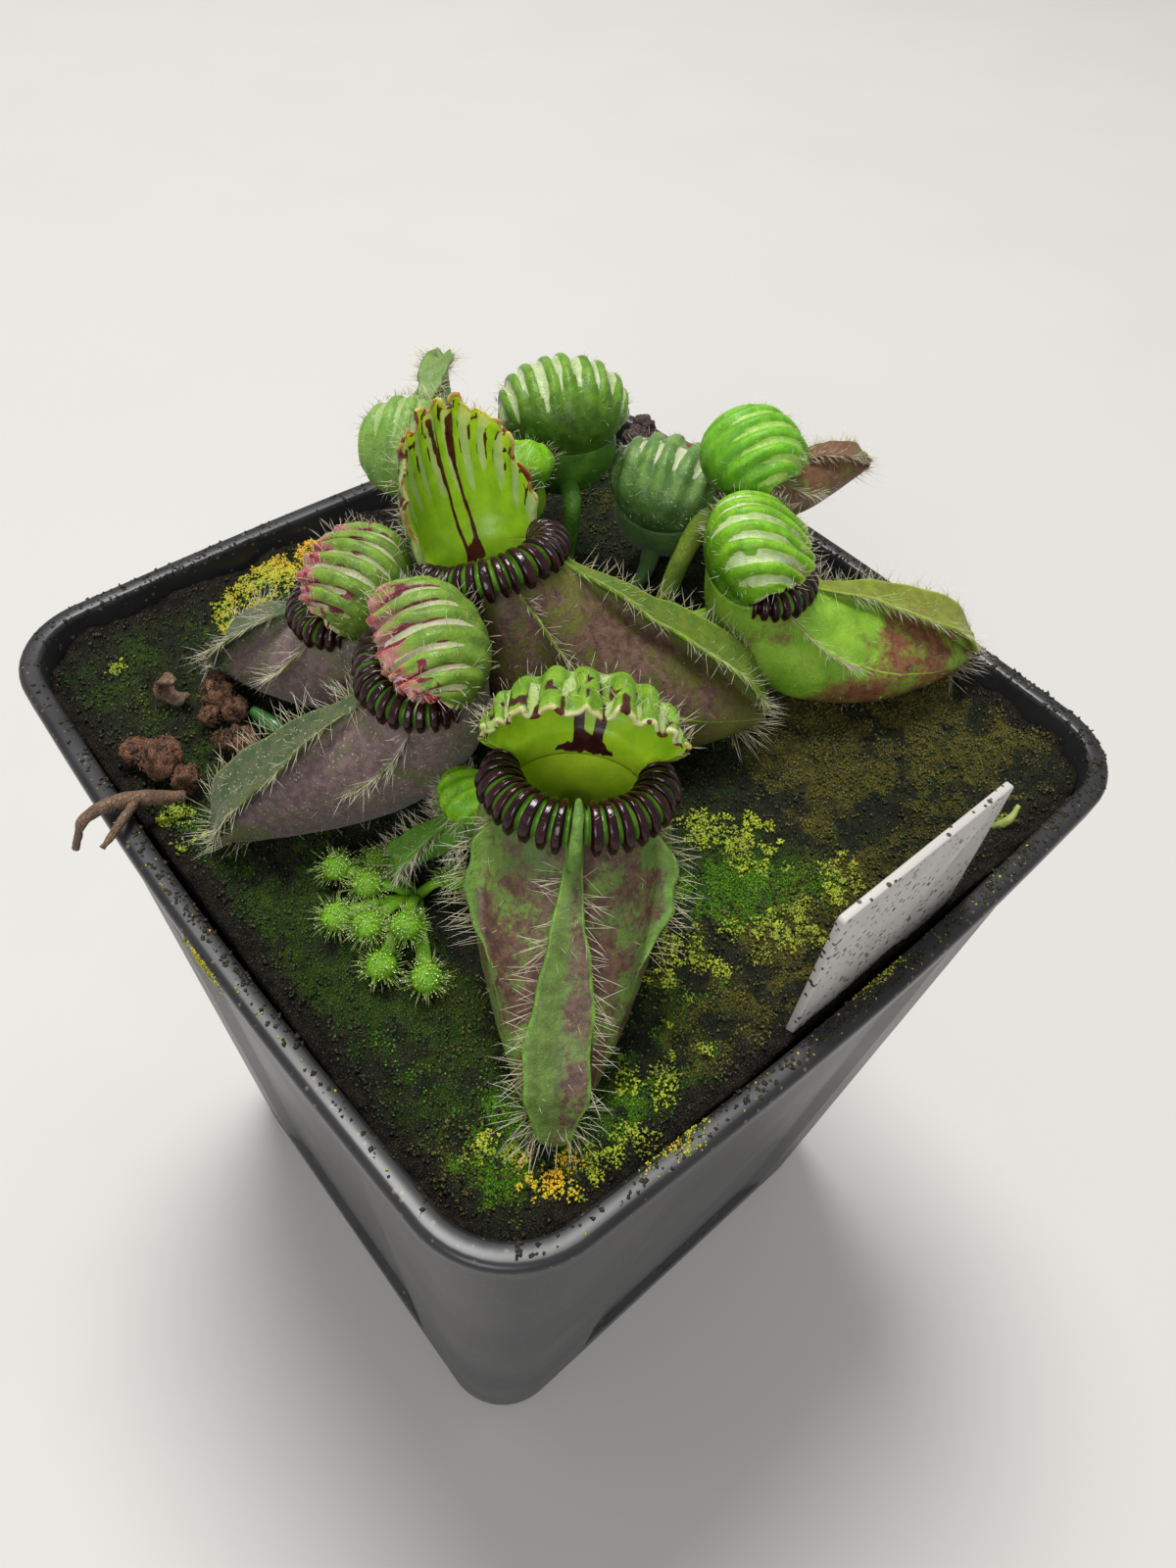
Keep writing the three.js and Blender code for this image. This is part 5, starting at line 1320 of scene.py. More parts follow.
# For each skin, two colours of its ground, its flange, flush and edges with their colours, scale,
# raggedness and softness, and its specks with colour, scale and share
SKINS = {
    "bronze": open_skin(
        ((0.13, 0.22, 0.035), (0.08, 0.14, 0.03)),
        ((0.11, 0.18, 0.035), (0.07, 0.11, 0.022), 1400, 0.5, 0.25),
        ((0.066, 0.033, 0.024), (0.12, 0.066, 0.044), 2000, 1.4, 0.3),
        ((0.13, 0.28, 0.035), (0.08, 0.17, 0.03), 1400, 0.6, 0.25), ((0.22, 0.2, 0.12), 2600, 0.15)),
    "umber": open_skin(
        ((0.12, 0.13, 0.022), (0.085, 0.09, 0.02)),
        ((0.075, 0.14, 0.016), (0.12, 0.17, 0.02), 1200, 0.3, 0.15),
        ((0.17, 0.095, 0.068), (0.09, 0.048, 0.036), 1900, 1.35, 0.28),
        ((0.2, 0.33, 0.025), (0.13, 0.23, 0.02), 1400, 0.5, 0.2), ((0.24, 0.18, 0.13), 2600, 0.16)),
    "purple": open_skin(
        ((0.12, 0.13, 0.05), (0.08, 0.09, 0.04)),
        ((0.036, 0.068, 0.022), (0.075, 0.09, 0.036), 1400, 0.6, 0.3),
        ((0.175, 0.12, 0.112), (0.11, 0.075, 0.07), 2200, 0.75, 0.3),
        ((0.1, 0.13, 0.04), (0.07, 0.085, 0.03), 1400, 0.6, 0.25), ((0.34, 0.28, 0.26), 2300, 0.22), VELVET),
    "bright": open_skin(
        ((0.21, 0.38, 0.03), (0.13, 0.27, 0.018)),
        ((0.13, 0.16, 0.016), (0.17, 0.22, 0.02), 1200, 0.3, 0.15),
        ((0.12, 0.04, 0.024), (0.18, 0.075, 0.035), 1700, 1.2, 0.45),
        ((0.26, 0.36, 0.03), (0.2, 0.28, 0.02), 1400, 0.5, 0.2), ((0.3, 0.42, 0.1), 2600, 0.13)),
    "leaf": young_skin(((0.08, 0.2, 0.018), (0.045, 0.12, 0.012)), ((0.09, 0.21, 0.02), (0.06, 0.15, 0.015)),
                       ((0.14, 0.26, 0.05), 2600, 0.13)),
    "blue": young_skin(((0.07, 0.14, 0.032), (0.045, 0.1, 0.026)), ((0.08, 0.15, 0.03), (0.055, 0.11, 0.026)),
                       ((0.14, 0.2, 0.08), 2600, 0.13), VELVET),
    "rust": young_skin(((0.15, 0.22, 0.02), (0.09, 0.15, 0.016)), ((0.12, 0.08, 0.026), (0.09, 0.1, 0.024)),
                       flush=[("R", (0.12, 0.055, 0.03), (0.15, 0.085, 0.04), 1500, 0.8, 0.3)]),
    "soft": young_skin(((0.15, 0.26, 0.055), (0.1, 0.19, 0.04)), ((0.14, 0.23, 0.05), (0.11, 0.18, 0.04))),
    "lime": young_skin(((0.24, 0.46, 0.014), (0.17, 0.36, 0.01)), ((0.22, 0.42, 0.014), (0.15, 0.3, 0.01)),
                       shader=LIT_LEAF),
}

SHUT_INSIDE = ((0.22, 0.42, 0.014), (0.15, 0.32, 0.01))
# For each lid, two colours of its outside, windows, inside, margin and dark marks, and its specks
# The insides are brighter than the outsides: their own lime, lifted by painted light for the light that
# shines through the thin lid
LID_PAINT = {
    "speckled": (
        ((0.16, 0.3, 0.018), (0.1, 0.21, 0.014)), ((0.27, 0.4, 0.09), (0.38, 0.46, 0.2)),
        ((0.38, 0.6, 0.02), (0.28, 0.5, 0.015)), ((0.5, 0.5, 0.26), (0.36, 0.34, 0.14)),
        ((0.03, 0.006, 0.006), (0.055, 0.014, 0.01)), ((0.13, 0.05, 0.015), 1700, 0.14)),
    "lined": (
        ((0.19, 0.31, 0.03), (0.12, 0.21, 0.02)), ((0.45, 0.56, 0.25), (0.36, 0.5, 0.18)),
        ((0.36, 0.6, 0.025), (0.28, 0.5, 0.02)), ((0.36, 0.36, 0.12), (0.2, 0.1, 0.035)),
        ((0.05, 0.006, 0.008), (0.09, 0.02, 0.012))),
    "rosy": (
        ((0.15, 0.26, 0.03), (0.09, 0.16, 0.02)), ((0.36, 0.42, 0.2), (0.46, 0.4, 0.28)),
        ((0.24, 0.4, 0.04), (0.18, 0.3, 0.03)), ((0.27, 0.04, 0.07), (0.36, 0.17, 0.15)),
        ((0.15, 0.014, 0.028), (0.08, 0.012, 0.018)), ((0.24, 0.05, 0.06), 1500, 0.14)),
    "banded": (
        ((0.17, 0.37, 0.014), (0.1, 0.26, 0.01)), ((0.5, 0.58, 0.34), (0.38, 0.52, 0.18)),
        SHUT_INSIDE, ((0.26, 0.46, 0.03), (0.18, 0.34, 0.02)),
        ((0.14, 0.02, 0.016), (0.08, 0.015, 0.012))),
    "striped": (
        ((0.125, 0.25, 0.02), (0.07, 0.16, 0.014)), ((0.46, 0.52, 0.3), (0.34, 0.44, 0.18)),
        SHUT_INSIDE, ((0.13, 0.28, 0.02), (0.09, 0.2, 0.015)),
        ((0.04, 0.12, 0.012), (0.03, 0.1, 0.01)), ((0.13, 0.27, 0.05), 2400, 0.13)),
    "blushed": (
        ((0.13, 0.24, 0.055), (0.075, 0.16, 0.038)), ((0.5, 0.48, 0.33), (0.4, 0.46, 0.24)),
        SHUT_INSIDE, ((0.3, 0.13, 0.1), (0.24, 0.22, 0.1)),
        ((0.2, 0.035, 0.045), (0.12, 0.03, 0.03)), ((0.26, 0.36, 0.17), 1700, 0.2)),
    "fresh": (
        ((0.14, 0.37, 0.018), (0.09, 0.27, 0.012)), ((0.36, 0.54, 0.12), (0.26, 0.48, 0.07)),
        SHUT_INSIDE, ((0.18, 0.4, 0.025), (0.13, 0.3, 0.02)),
        ((0.09, 0.2, 0.016), (0.07, 0.16, 0.014))),
    "faint": (
        ((0.17, 0.3, 0.055), (0.12, 0.23, 0.04)), ((0.3, 0.42, 0.15), (0.24, 0.38, 0.11)),
        ((0.2, 0.4, 0.04), (0.15, 0.32, 0.03)), ((0.18, 0.34, 0.06), (0.13, 0.28, 0.05)),
        ((0.1, 0.2, 0.04), (0.08, 0.16, 0.03))),
    "plain": (
        ((0.2, 0.43, 0.012), (0.13, 0.34, 0.01)), ((0.38, 0.56, 0.1), (0.28, 0.5, 0.07)),
        ((0.24, 0.46, 0.014), (0.17, 0.36, 0.01)), ((0.22, 0.46, 0.014), (0.16, 0.36, 0.01)),
        ((0.1, 0.26, 0.01), (0.08, 0.2, 0.01))),
}


def shared(name, *given, **more):
    """A material that several pieces share"""
    return bpy.data.materials.get(name) or painted(name, *given, **more)


def skin_materials(kind):
    # Throat: its lime is brightened by painted light for the light that shines through the thin wall, and its
    # red mark is painted shade that darkens it deeper inside the cup
    throat = shared("Throat", ((0.55, 0.78, 0.05), (0.46, 0.7, 0.035), 500, 0.15), layers=[
        ("R", (0.02, 0.03, 0.004), (0.04, 0.06, 0.006), 700, 0.8, 0.35)],
        rough=(0.2, 0.35), shader={**LIT_LEAF, "Coat Weight": 0.4}, height=0.00004)
    return [shared(f"{kind.capitalize()} skin", **SKINS[kind]), throat]


def lid_materials(kind):
    outside, window, inside, margin, dark, *specks = LID_PAINT[kind]
    # Colour of the fourth mark outside: painted shade at the lid's root, half as bright as the outside
    root = tuple(0.5 * c for c in outside[1])
    return [
        shared(f"{kind.capitalize()} lid outside", (*outside, 600, 0.15), layers=[
            ("A", root, outside[1], 900, 0.3, 0.4), ("B", *margin, 1200, 0.6, 0.3),
            ("R", *window, 1700, 0.45, 0.16), ("G", *dark, 1800, 0.6, 0.15)],
            rough=(0.28, 0.42), shader=LIT_LEAF, specks=specks[0] if specks else None),
        shared(f"{kind.capitalize()} lid inside", (*inside, 500, 0.15), layers=[
            ("B", *margin, 1200, 0.5, 0.2), ("R", *window, 1500, 0.3, 0.2), ("G", *dark, 1600, 0.5, 0.12)],
            rough=(0.22, 0.34), height=0.00003,
            shader={**LIT_LEAF, "Coat Weight": 0.15, "Specular IOR Level": 0.12})]


def rib_material():
    return shared("Peristome ribs", ((0.1, 0.24, 0.02), (0.06, 0.15, 0.014), 700, 0.15), layers=[
        ("R", (0.008, 0.001, 0.002), (0.022, 0.003, 0.005), 1100, 0.3, 0.16)],
        rough=(0.13, 0.24), relief=(2500, 900, 0.3), height=0.00004, shader=GLOSSY)


def hair_material():
    return shared("Hairs", ((0.5, 0.46, 0.3), (0.42, 0.36, 0.2), 300, 0.2), layers=[
        ("R", (0.84, 0.8, 0.66), (0.76, 0.7, 0.52), 300, 0.3, 0.3)],
        rough=(0.3, 0.45), relief=None, shader={
            "Subsurface Weight": 0.3, "Subsurface Radius": (0.001, 0.001, 0.0007), "Specular IOR Level": 0.5})


# Settings that a user would change

def colour_prop(name, description, default):
    return bpy.props.FloatVectorProperty(
        name=name, description=description, default=default, subtype="COLOR", size=3, min=0, max=1)


def share_prop(name, description, default):
    return bpy.props.FloatProperty(name=name, description=description, default=default, min=0, max=3,
                                   subtype="FACTOR")


class PlantSettings(bpy.types.PropertyGroup):
    hair_length: bpy.props.FloatProperty(
        name="Hair length", description="Length of the long hairs in millimetres", default=4.1,
        min=0.5, max=8)
    hair_share: share_prop("Hair share", "How densely the hairs stand", 1.0)


class PotSettings(bpy.types.PropertyGroup):
    plastic: colour_prop("Plastic", "Black of the pot", (0.012, 0.012, 0.014))
    dirt: colour_prop("Dirt", "Dirt and dried algae on the pot", (0.1, 0.085, 0.06))
    label: colour_prop("Label", "Plastic of the label", (0.43, 0.415, 0.395))


class MossSettings(bpy.types.PropertyGroup):
    peat: colour_prop("Peat", "Wet peat", (0.011, 0.014, 0.009))
    yellow: colour_prop("Yellow moss", "Bright moss flakes", (0.42, 0.46, 0.016))
    green: colour_prop("Green moss", "Dark green moss", (0.032, 0.082, 0.014))
    bright: colour_prop("Bright moss", "Fresh green moss", (0.1, 0.24, 0.01))
    olive: colour_prop("Olive moss", "Olive brown moss", (0.125, 0.115, 0.02))
    grains: share_prop("Grain share", "How many grains lie on the soil", 1.0)


class StageSettings(bpy.types.PropertyGroup):
    floor: colour_prop("Floor", "Pale surface under the pot", (0.49, 0.48, 0.465))
    light: bpy.props.FloatProperty(name="Light", description="Strength of the soft light", default=1.0, min=0)


# Operators

class BuildPot(bpy.types.Operator):
    """Builds the moulded pot with its rolled lip, side panels and drain holes"""
    bl_idname = "pitcher_plant.build_pot"
    bl_label = "Pot"

    def execute(self, context):
        settings = context.scene.pitcher_plant_pot
        shell = Shell()
        add_pot(shell)
        material = painted(
            "Pot plastic", (settings.plastic, (0.02, 0.02, 0.022), 120, 0.2), rough=(0.33, 0.38),
            rough_scale=60, relief=None,
            shader={"Specular IOR Level": 0.4, "Coat Weight": 0.0},
            specks=(settings.dirt, 1000, 0.2))
        piece = make_piece("pot_shell", shell, [material], ["pot"])
        drill_drains(piece)
        return {"FINISHED"}


def drill_drains(piece):
    """Cuts the drain holes through the base"""
    shell = Shell()
    sides = 32
    angle = np.linspace(0, 2 * np.pi, sides, endpoint=False)
    ring = DRAIN_RADIUS * np.stack([np.cos(angle), np.sin(angle), 0 * angle], -1)
    for x, y in DRAIN_OUT * np.array(list(product((-1, 1), repeat=2))):
        ends = np.array([[x, y, -3.0], [x, y, 4.0]])
        points = np.vstack([ring + ends[0], ring + ends[1], ends])
        shell.add(points, outward(points, skin_faces(2, sides)))
    tool = bpy.data.objects.new("drain_tool", shell.mesh("drain_tool"))
    bpy.context.scene.collection.objects.link(tool)
    cut = piece.modifiers.new("Drains", "BOOLEAN")
    cut.object = tool
    cut.operation = "DIFFERENCE"
    cut.solver = "EXACT"
    bpy.context.view_layer.update()
    result = bpy.data.meshes.new_from_object(piece.evaluated_get(bpy.context.evaluated_depsgraph_get()))
    piece.modifiers.clear()
    piece.data = result
    bpy.data.objects.remove(tool)


class BuildSoil(bpy.types.Operator):
    """Builds the crumbly wet peat that fills the pot"""
    bl_idname = "pitcher_plant.build_soil"
    bl_label = "Soil"

    def execute(self, context):
        moss = context.scene.pitcher_plant_moss
        shell = Shell()
        add_soil(shell)
        # The pale specks on the wet peat are painted glints of light
        material = painted("Wet peat", (moss.peat, (0.024, 0.026, 0.013), 900, 0.15), layers=[
            ("R", (0.02, 0.042, 0.006), (0.036, 0.066, 0.009), 1600, 1.0, 0.3),
            ("G", (0.1, 0.085, 0.016), (0.05, 0.052, 0.012), 1600, 1.1, 0.3),
            ("B", (0.045, 0.12, 0.005), (0.08, 0.19, 0.008), 1600, 1.0, 0.25),
            ("A", (0.009, 0.008, 0.007), (0.022, 0.018, 0.013), 1600, 0.7, 0.3)],
            rough=(0.4, 0.85), rough_scale=2600, relief=(5200, 2200, 0.5), height=0.0004,
            shader=WET, specks=((0.15, 0.14, 0.055), 2400, 0.15))
        make_piece("peat", shell, [material], ["soil"])
        return {"FINISHED"}


class BuildMoss(bpy.types.Operator):
    """Scatters moss flakes and peat grains over the soil"""
    bl_idname = "pitcher_plant.build_moss"
    bl_label = "Moss"

    def execute(self, context):
        moss = context.scene.pitcher_plant_moss
        rng = np.random.default_rng(7)

        def cover(kind):
            return lambda x, y: patch_cover(kind, x, y) * cushions(x, y)

        def bare(x, y):
            return 0.2 + 0.6 * smooth(0.84, 0.94, to_edge(x, y))

        grains = [
            ("moss_green", 8600, cover("green"), (0.07, 0.24), (0.02, 0.05, 0.007), moss.green),
            ("moss_bright", 5200, cover("bright"), (0.07, 0.21), (0.04, 0.12, 0.005), moss.bright),
            ("moss_olive", 10000, cover("olive"), (0.08, 0.25), (0.05, 0.048, 0.012), moss.olive),
            ("peat_grains", 7000, bare, (0.08, 0.32), (0.012, 0.012, 0.007), (0.042, 0.036, 0.018)),
        ]
        for name, count, where, sizes, first, second in grains:
            shell = Shell()
            x, y = free_places(int(count * moss.grains), rng, where)
            add_grains(shell, x, y, rng, sizes, 0.95)
            material = painted(name.replace("_", " ").capitalize(), (first, second, 700, 0.2), layers=[
                ("R", second, first, 700, 0.6, 0.4)], rough=(0.45, 0.75), relief=(6000, 2600, 0.3),
                height=0.00008, shader={"Specular IOR Level": 0.3})
            make_piece(name, shell, [material])
        yellow = painted("Yellow moss", (moss.yellow, (0.28, 0.37, 0.012), 500, 0.15), layers=[
            ("R", (0.09, 0.14, 0.01), (0.22, 0.27, 0.016), 900, 0.5, 0.4),
            ("B", (0.62, 0.36, 0.012), (0.5, 0.42, 0.012), 500, 0.2, 0.3)],
            rough=(0.45, 0.65), relief=(5000, 2200, 0.2), height=0.00006,
            shader={"Subsurface Weight": 0.15, "Subsurface Radius": (0.0006, 0.0008, 0.0002)})
        for kind, count, biggest in (("yellow", 640, 1.1), ("golden", 2000, 0.45)):
            shell = Shell()
            x, y, rise, tone = clusters(int(count * moss.grains), rng, cover(kind), biggest)
            warm = 0.3 * tone + (np.hypot(x - ORANGE_SPOT[0], y - ORANGE_SPOT[1]) < ORANGE_SPOT[2])
            if kind == "golden":
                warm = 0.3 * tone + 0.6 * smooth(-16, -4, x) + 0.25
            add_grains(shell, x, y, rng, (0.08, 0.22), 0.85, rise, tone, np.clip(warm, 0, 1))
            make_piece(f"moss_{kind}", shell, [yellow])
        # The last of the grains' materials is that of the loose peat
        for name, places, sizes, look in (("rim_algae", RIM_ALGAE, (0.07, 0.17), yellow),
                                          ("rim_dirt", RIM_DIRT, (0.07, 0.3), material)):
            shell = Shell()
            add_rim_specks(shell, rng, places, sizes)
            make_piece(name, shell, [look])
        return {"FINISHED"}


class BuildLabel(bpy.types.Operator):
    """Builds the blank label beside the front right wall"""
    bl_idname = "pitcher_plant.build_label"
    bl_label = "Label"

    def execute(self, context):
        settings = context.scene.pitcher_plant_pot
        shell = Shell()
        width, thick, height = TAG_SIZE
        bevel = 0.12
        edge = ((0, bevel), (bevel / 3, bevel / 3), (bevel, 0))
        rings = [label_outline(width, height, inset, deep - thick / 2) for deep, inset in edge]
        rings += [label_outline(width, height, inset, thick / 2 - deep) for deep, inset in edge[::-1]]
        points = np.vstack([*rings, [[width / 2, side * thick / 2, height / 2] for side in (-1, 1)]])
        points = points @ spin("x", TAG_LEAN).T + np.array(TAG_FROM)
        shell.add(points, outward(points, skin_faces(len(rings), len(rings[0]))))
        material = painted(
            "Label plastic", (settings.label, (0.42, 0.405, 0.375), 90, 0.2), rough=(0.35, 0.55),
            rough_scale=300, relief=(2500, 300, 0.0), height=0.00002,
            shader={"Specular IOR Level": 0.4}, specks=((0.05, 0.04, 0.03), 1300, 0.3))
        make_piece("label_plate", shell, [material], ["label"])
        return {"FINISHED"}


def label_outline(width, height, inset, y):
    """Outline of the plate with small rounded corners"""
    corner = 0.5
    points = []
    for cx, cz, start in ((width - corner, corner, -90), (width - corner, height - corner, 0),
                          (corner, height - corner, 90), (corner, corner, 180)):
        for angle in np.radians(start + np.arange(0, 91, 18)):
            radius = corner - inset
            points.append([cx + radius * math.cos(angle), y, cz + radius * math.sin(angle)])
    return np.array(points)


def build_pitcher(given, settings):
    p = Pitcher(given)
    cup = Shell()
    add_cup(p, cup)
    add_stalk(p, cup)
    if p.cap:
        add_keel_cap(p, cup)
    make_piece(f"{p.name}_body", cup, skin_materials(p.skin), [f"{p.name}_cup"])
    if p.open:
        roll = Shell()
        add_peristome(p, roll)
        make_piece(f"{p.name}_ribs", roll, [rib_material()], [f"{p.name}_peristome"])
    hood = Shell()
    add_lid(p, hood)
    make_piece(f"{p.name}_hood", hood, lid_materials(p.lid), [f"{p.name}_lid"])
    fur = Shell()
    add_pitcher_hairs(p, fur, settings)
    make_piece(f"{p.name}_hairs", fur, [hair_material()])


class BuildOpenPitchers(bpy.types.Operator):
    """Builds the open pitchers: bodies with throats, ribbed peristomes, hoods and hairs"""
    bl_idname = "pitcher_plant.build_open_pitchers"
    bl_label = "Open pitchers"

    def execute(self, context):
        for given in OPEN_PITCHERS:
            build_pitcher(given, context.scene.pitcher_plant_leaves)
        return {"FINISHED"}


class BuildYoungPitchers(bpy.types.Operator):
    """Builds the young pitchers with their shut ball lids"""
    bl_idname = "pitcher_plant.build_young_pitchers"
    bl_label = "Young pitchers"

    def execute(self, context):
        for given in YOUNG_PITCHERS:
            build_pitcher(given, context.scene.pitcher_plant_leaves)
        return {"FINISHED"}


class BuildSundew(bpy.types.Operator):
    """Builds the sundew: round pads on thin stalks, set with sticky tentacles"""
    bl_idname = "pitcher_plant.build_sundew"
    bl_label = "Sundew"

    def execute(self, context):
        rng = np.random.default_rng(12)
        shell, drops = Shell(), Shell()
        base = np.array([*SUNDEW_AT, SOIL_TOP + 0.9])
        points, faces = tube([base - [0, 0, 4.5], base - [0, 0, 2], base], [0.9, 0.9, 0.6], 10, 8)
        shell.add(points, faces)
        for x, y, height in SUNDEW_PADS:
            end = np.array([x, y, SOIL_TOP + height])
            middle = (base + end) / 2 + [0, 0, 0.7]
            sides, count = 12, 18
            stem, faces = tube([base, middle, end], [0.62, 0.55, 0.75], sides, count)
            line = np.repeat(stem[:-2].reshape(count, sides, 3).mean(1), sides, axis=0)
            stem[:-2, 2] = line[:, 2] + 0.42 * (stem[:-2, 2] - line[:, 2])
            shell.add(stem, faces)
            add_sundew_pad(shell, drops, end, rng)
        green = painted("Sundew leaf", ((0.13, 0.3, 0.01), (0.08, 0.2, 0.01), 900, 0.2), layers=[
            ("R", (0.5, 0.52, 0.22), (0.4, 0.48, 0.12), 900, 0.3, 0.3)],
            rough=(0.4, 0.55), relief=(3000, 1800, 0.1), height=0.0001,
            shader={**LEAF, "Coat Weight": 0.0, "Specular IOR Level": 0.15},
            specks=((0.3, 0.42, 0.06), 2400, 0.2))
        dew = painted("Sundew drops", ((0.5, 0.64, 0.24), (0.42, 0.56, 0.14), 900, 0.2),
                      rough=(0.04, 0.1), relief=None, shader={
                          "Specular IOR Level": 0.6, "Coat Weight": 0.6, "Coat Roughness": 0.04,
                          "Subsurface Weight": 0.5, "Subsurface Radius": (0.001, 0.001, 0.0006)})
        make_piece("sundew_leaves", shell, [green], ["sundew"])
        make_piece("sundew_dew", drops, [dew])
        return {"FINISHED"}


def add_sundew_pad(shell, drops, centre, rng):
    points, faces = ball(1, 11, 22)
    halves = [PAD_RADIUS, PAD_RADIUS, 0.95]
    shell.add(points * halves + centre, faces)
    n = TENTACLES
    angle = rng.uniform(0, 2 * np.pi, n)
    height = rng.uniform(-0.35, 1, n)
    level = np.sqrt(1 - height**2)
    ways = np.stack([level * np.cos(angle), level * np.sin(angle), height], -1)
    roots = centre + ways * halves * 0.97
    outer = smooth(0.75, 0.98, level)
    length = mix(0.25, 1.9, outer * rng.uniform(0.3, 1, n)**2)
    ways = unit(ways + 0.18 * rng.normal(size=(n, 3)))
    tips = hairs(shell, roots, ways, length, rng, 0.045, 0.1, 0.02)
    bead, faces = ball(0.075, 1, 5)
    for tip in tips[length < 0.9]:
        drops.add(bead + tip, faces)


class BuildCrumbs(bpy.types.Operator):
    """Builds the clumps of red brown peat crumbs"""
    bl_idname = "pitcher_plant.build_crumbs"
    bl_label = "Crumbs"

    def execute(self, context):
        # The crumbs' red layer is painted shade in their dents
        material = painted("Peat crumbs", ((0.19, 0.08, 0.033), (0.1, 0.042, 0.02), 1300, 0.2), layers=[
            ("R", (0.06, 0.026, 0.015), (0.03, 0.016, 0.01), 1500, 0.9, 0.3)],
            rough=(0.6, 0.9), relief=(4500, 2100, 0.7), height=0.0003,
            specks=((0.42, 0.24, 0.13), 2000, 0.15))
        rng = np.random.default_rng(31)
        for name, lumps in CRUMBS.items():
            shell = Shell()
            for index, (x, y, height, radius) in enumerate(lumps):
                centre = np.array([x, y, SOIL_TOP + height])
                add_crumb(shell, centre, radius, index)
                ways = unit(rng.normal(size=(CRUMB_FIBRES, 3)))
                roots = centre + 0.9 * radius * ways
                ways = unit(ways + 1.1 * rng.normal(size=(CRUMB_FIBRES, 3)))
                hairs(shell, roots, ways, rng.uniform(0.3, 0.9, CRUMB_FIBRES), rng, 0.13, 0.3, 0.1)
            make_piece(f"{name}_lumps", shell, [material], [name])
        return {"FINISHED"}


def add_crumb(shell, centre, radius, seed):
    points, faces = ball(1, 22, 36)
    places = points * radius
    rough = 0.42 * fractal(places + seed, 0.8, 4, seed) + 0.2 * value_noise(places, 1.6, seed)
    rough = rough - 0.22 * np.abs(value_noise(places, 0.45, seed + 2))
    # Red mark: painted shade, darker in the dents of the lump
    marks = np.outer(1 - smooth(-0.3, 0.0, rough), [1, 0, 0, 0])
    shell.add(points * (radius * (1 + rough))[:, None] + centre, faces, marks)


class BuildDryRemains(bpy.types.Operator):
    """Builds the dry curl, the root over the rim, the old pitcher, the young leaf and the sprout"""
    bl_idname = "pitcher_plant.build_dry_remains"
    bl_label = "Dry remains and shoots"

    def execute(self, context):
        brown = painted("Dry leaf", ((0.16, 0.09, 0.05), (0.09, 0.055, 0.035), 700, 0.2), rough=(0.55, 0.8),
                        relief=(3000, 1200, 0.6), height=0.00015, specks=((0.3, 0.22, 0.14), 1500, 0.1))
        dark = painted("Shrivelled pitcher", ((0.035, 0.02, 0.016), (0.07, 0.04, 0.03), 600, 0.2),
                       rough=(0.5, 0.75), relief=(2600, 900, 0.7), height=0.0003)
        fresh = painted("Shoot", ((0.03, 0.12, 0.018), (0.018, 0.07, 0.014), 600, 0.2), rough=(0.15, 0.3),
                        relief=(2600, 900, 0.1), height=0.00004, shader={**LEAF, "Coat Weight": 0.7})
        pale = painted("Pale sprout", ((0.32, 0.38, 0.12), (0.24, 0.3, 0.08), 600, 0.2), rough=(0.3, 0.45),
                       relief=(2600, 900, 0.1), height=0.00004, shader=LEAF)
        shell = Shell()
        add_curl(shell)
        make_piece("dry_curl_strip", shell, [brown], ["dry_curl"])
        shell = Shell()
        add_strand(shell, POT_HEIGHT, [
            (-38.4, 12.6, -0.6), (-41, 13.4, 0.4), (-44.5, 14.2, 1.3), (-47.4, 14.6, 0.6), (-49, 15, -3)],
            [0.5, 0.8, 0.7, 0.5, 0.3], 12, 60, 0.16, 1)
        add_strand(shell, POT_HEIGHT, [(-42.5, 13.8, 0.8), (-45, 11.6, 1.5), (-47.6, 10.4, 0.7)],
                   [0.5, 0.5, 0.3], 10, 36, 0.12, 2)
        make_piece("dry_root_strand", shell, [brown], ["dry_root"])
        shell = Shell()
        for index, (x, y, height, radius) in enumerate(
                [(37.6, 29.4, 5.6, 2.6), (36, 27.4, 4.2, 1.8), (39.4, 30.8, 7, 1.6)]):
            add_crumb(shell, (x, y, SOIL_TOP + height), radius, 20 + index)
        add_strand(shell, SOIL_TOP, [
            (33, 24, -STALK_DEPTH), (33, 24, 1.4), (34.6, 26, 3.2), (36.4, 28, 4.4)],
            [0.7, 0.7, 0.7, 0.6], 10, 30, 0.1, 3)
        make_piece("dry_pitcher_husk", shell, [dark], ["dry_pitcher"])
        shell = Shell()
        add_strand(shell, SOIL_TOP, [
            (-25.4, 13.6, -STALK_DEPTH), (-25.4, 13.6, 0.8), (-26.4, 16, 2.2), (-27.2, 19.4, 2.4)],
            [0.7, 0.9, 1, 0.55], 14, 30, 0.04, 4)
        make_piece("young_leaf_blade", shell, [fresh], ["young_leaf"])
        shell = Shell()
        add_strand(shell, SOIL_TOP, [(26, -39.4, -3), (26, -39.4, 0.6), (26.6, -40.2, 2.6), (27.8, -40, 3.6)],
                   [0.5, 0.5, 0.45, 0.25], 12, 24, 0.03, 5)
        make_piece("sprout_shoot", shell, [pale], ["sprout"])
        return {"FINISHED"}


def add_strand(shell, base, places, *form):
    """A stalk or root through places whose heights are counted from the base"""
    shell.add(*tube([(x, y, base + z) for x, y, z in places], *form))


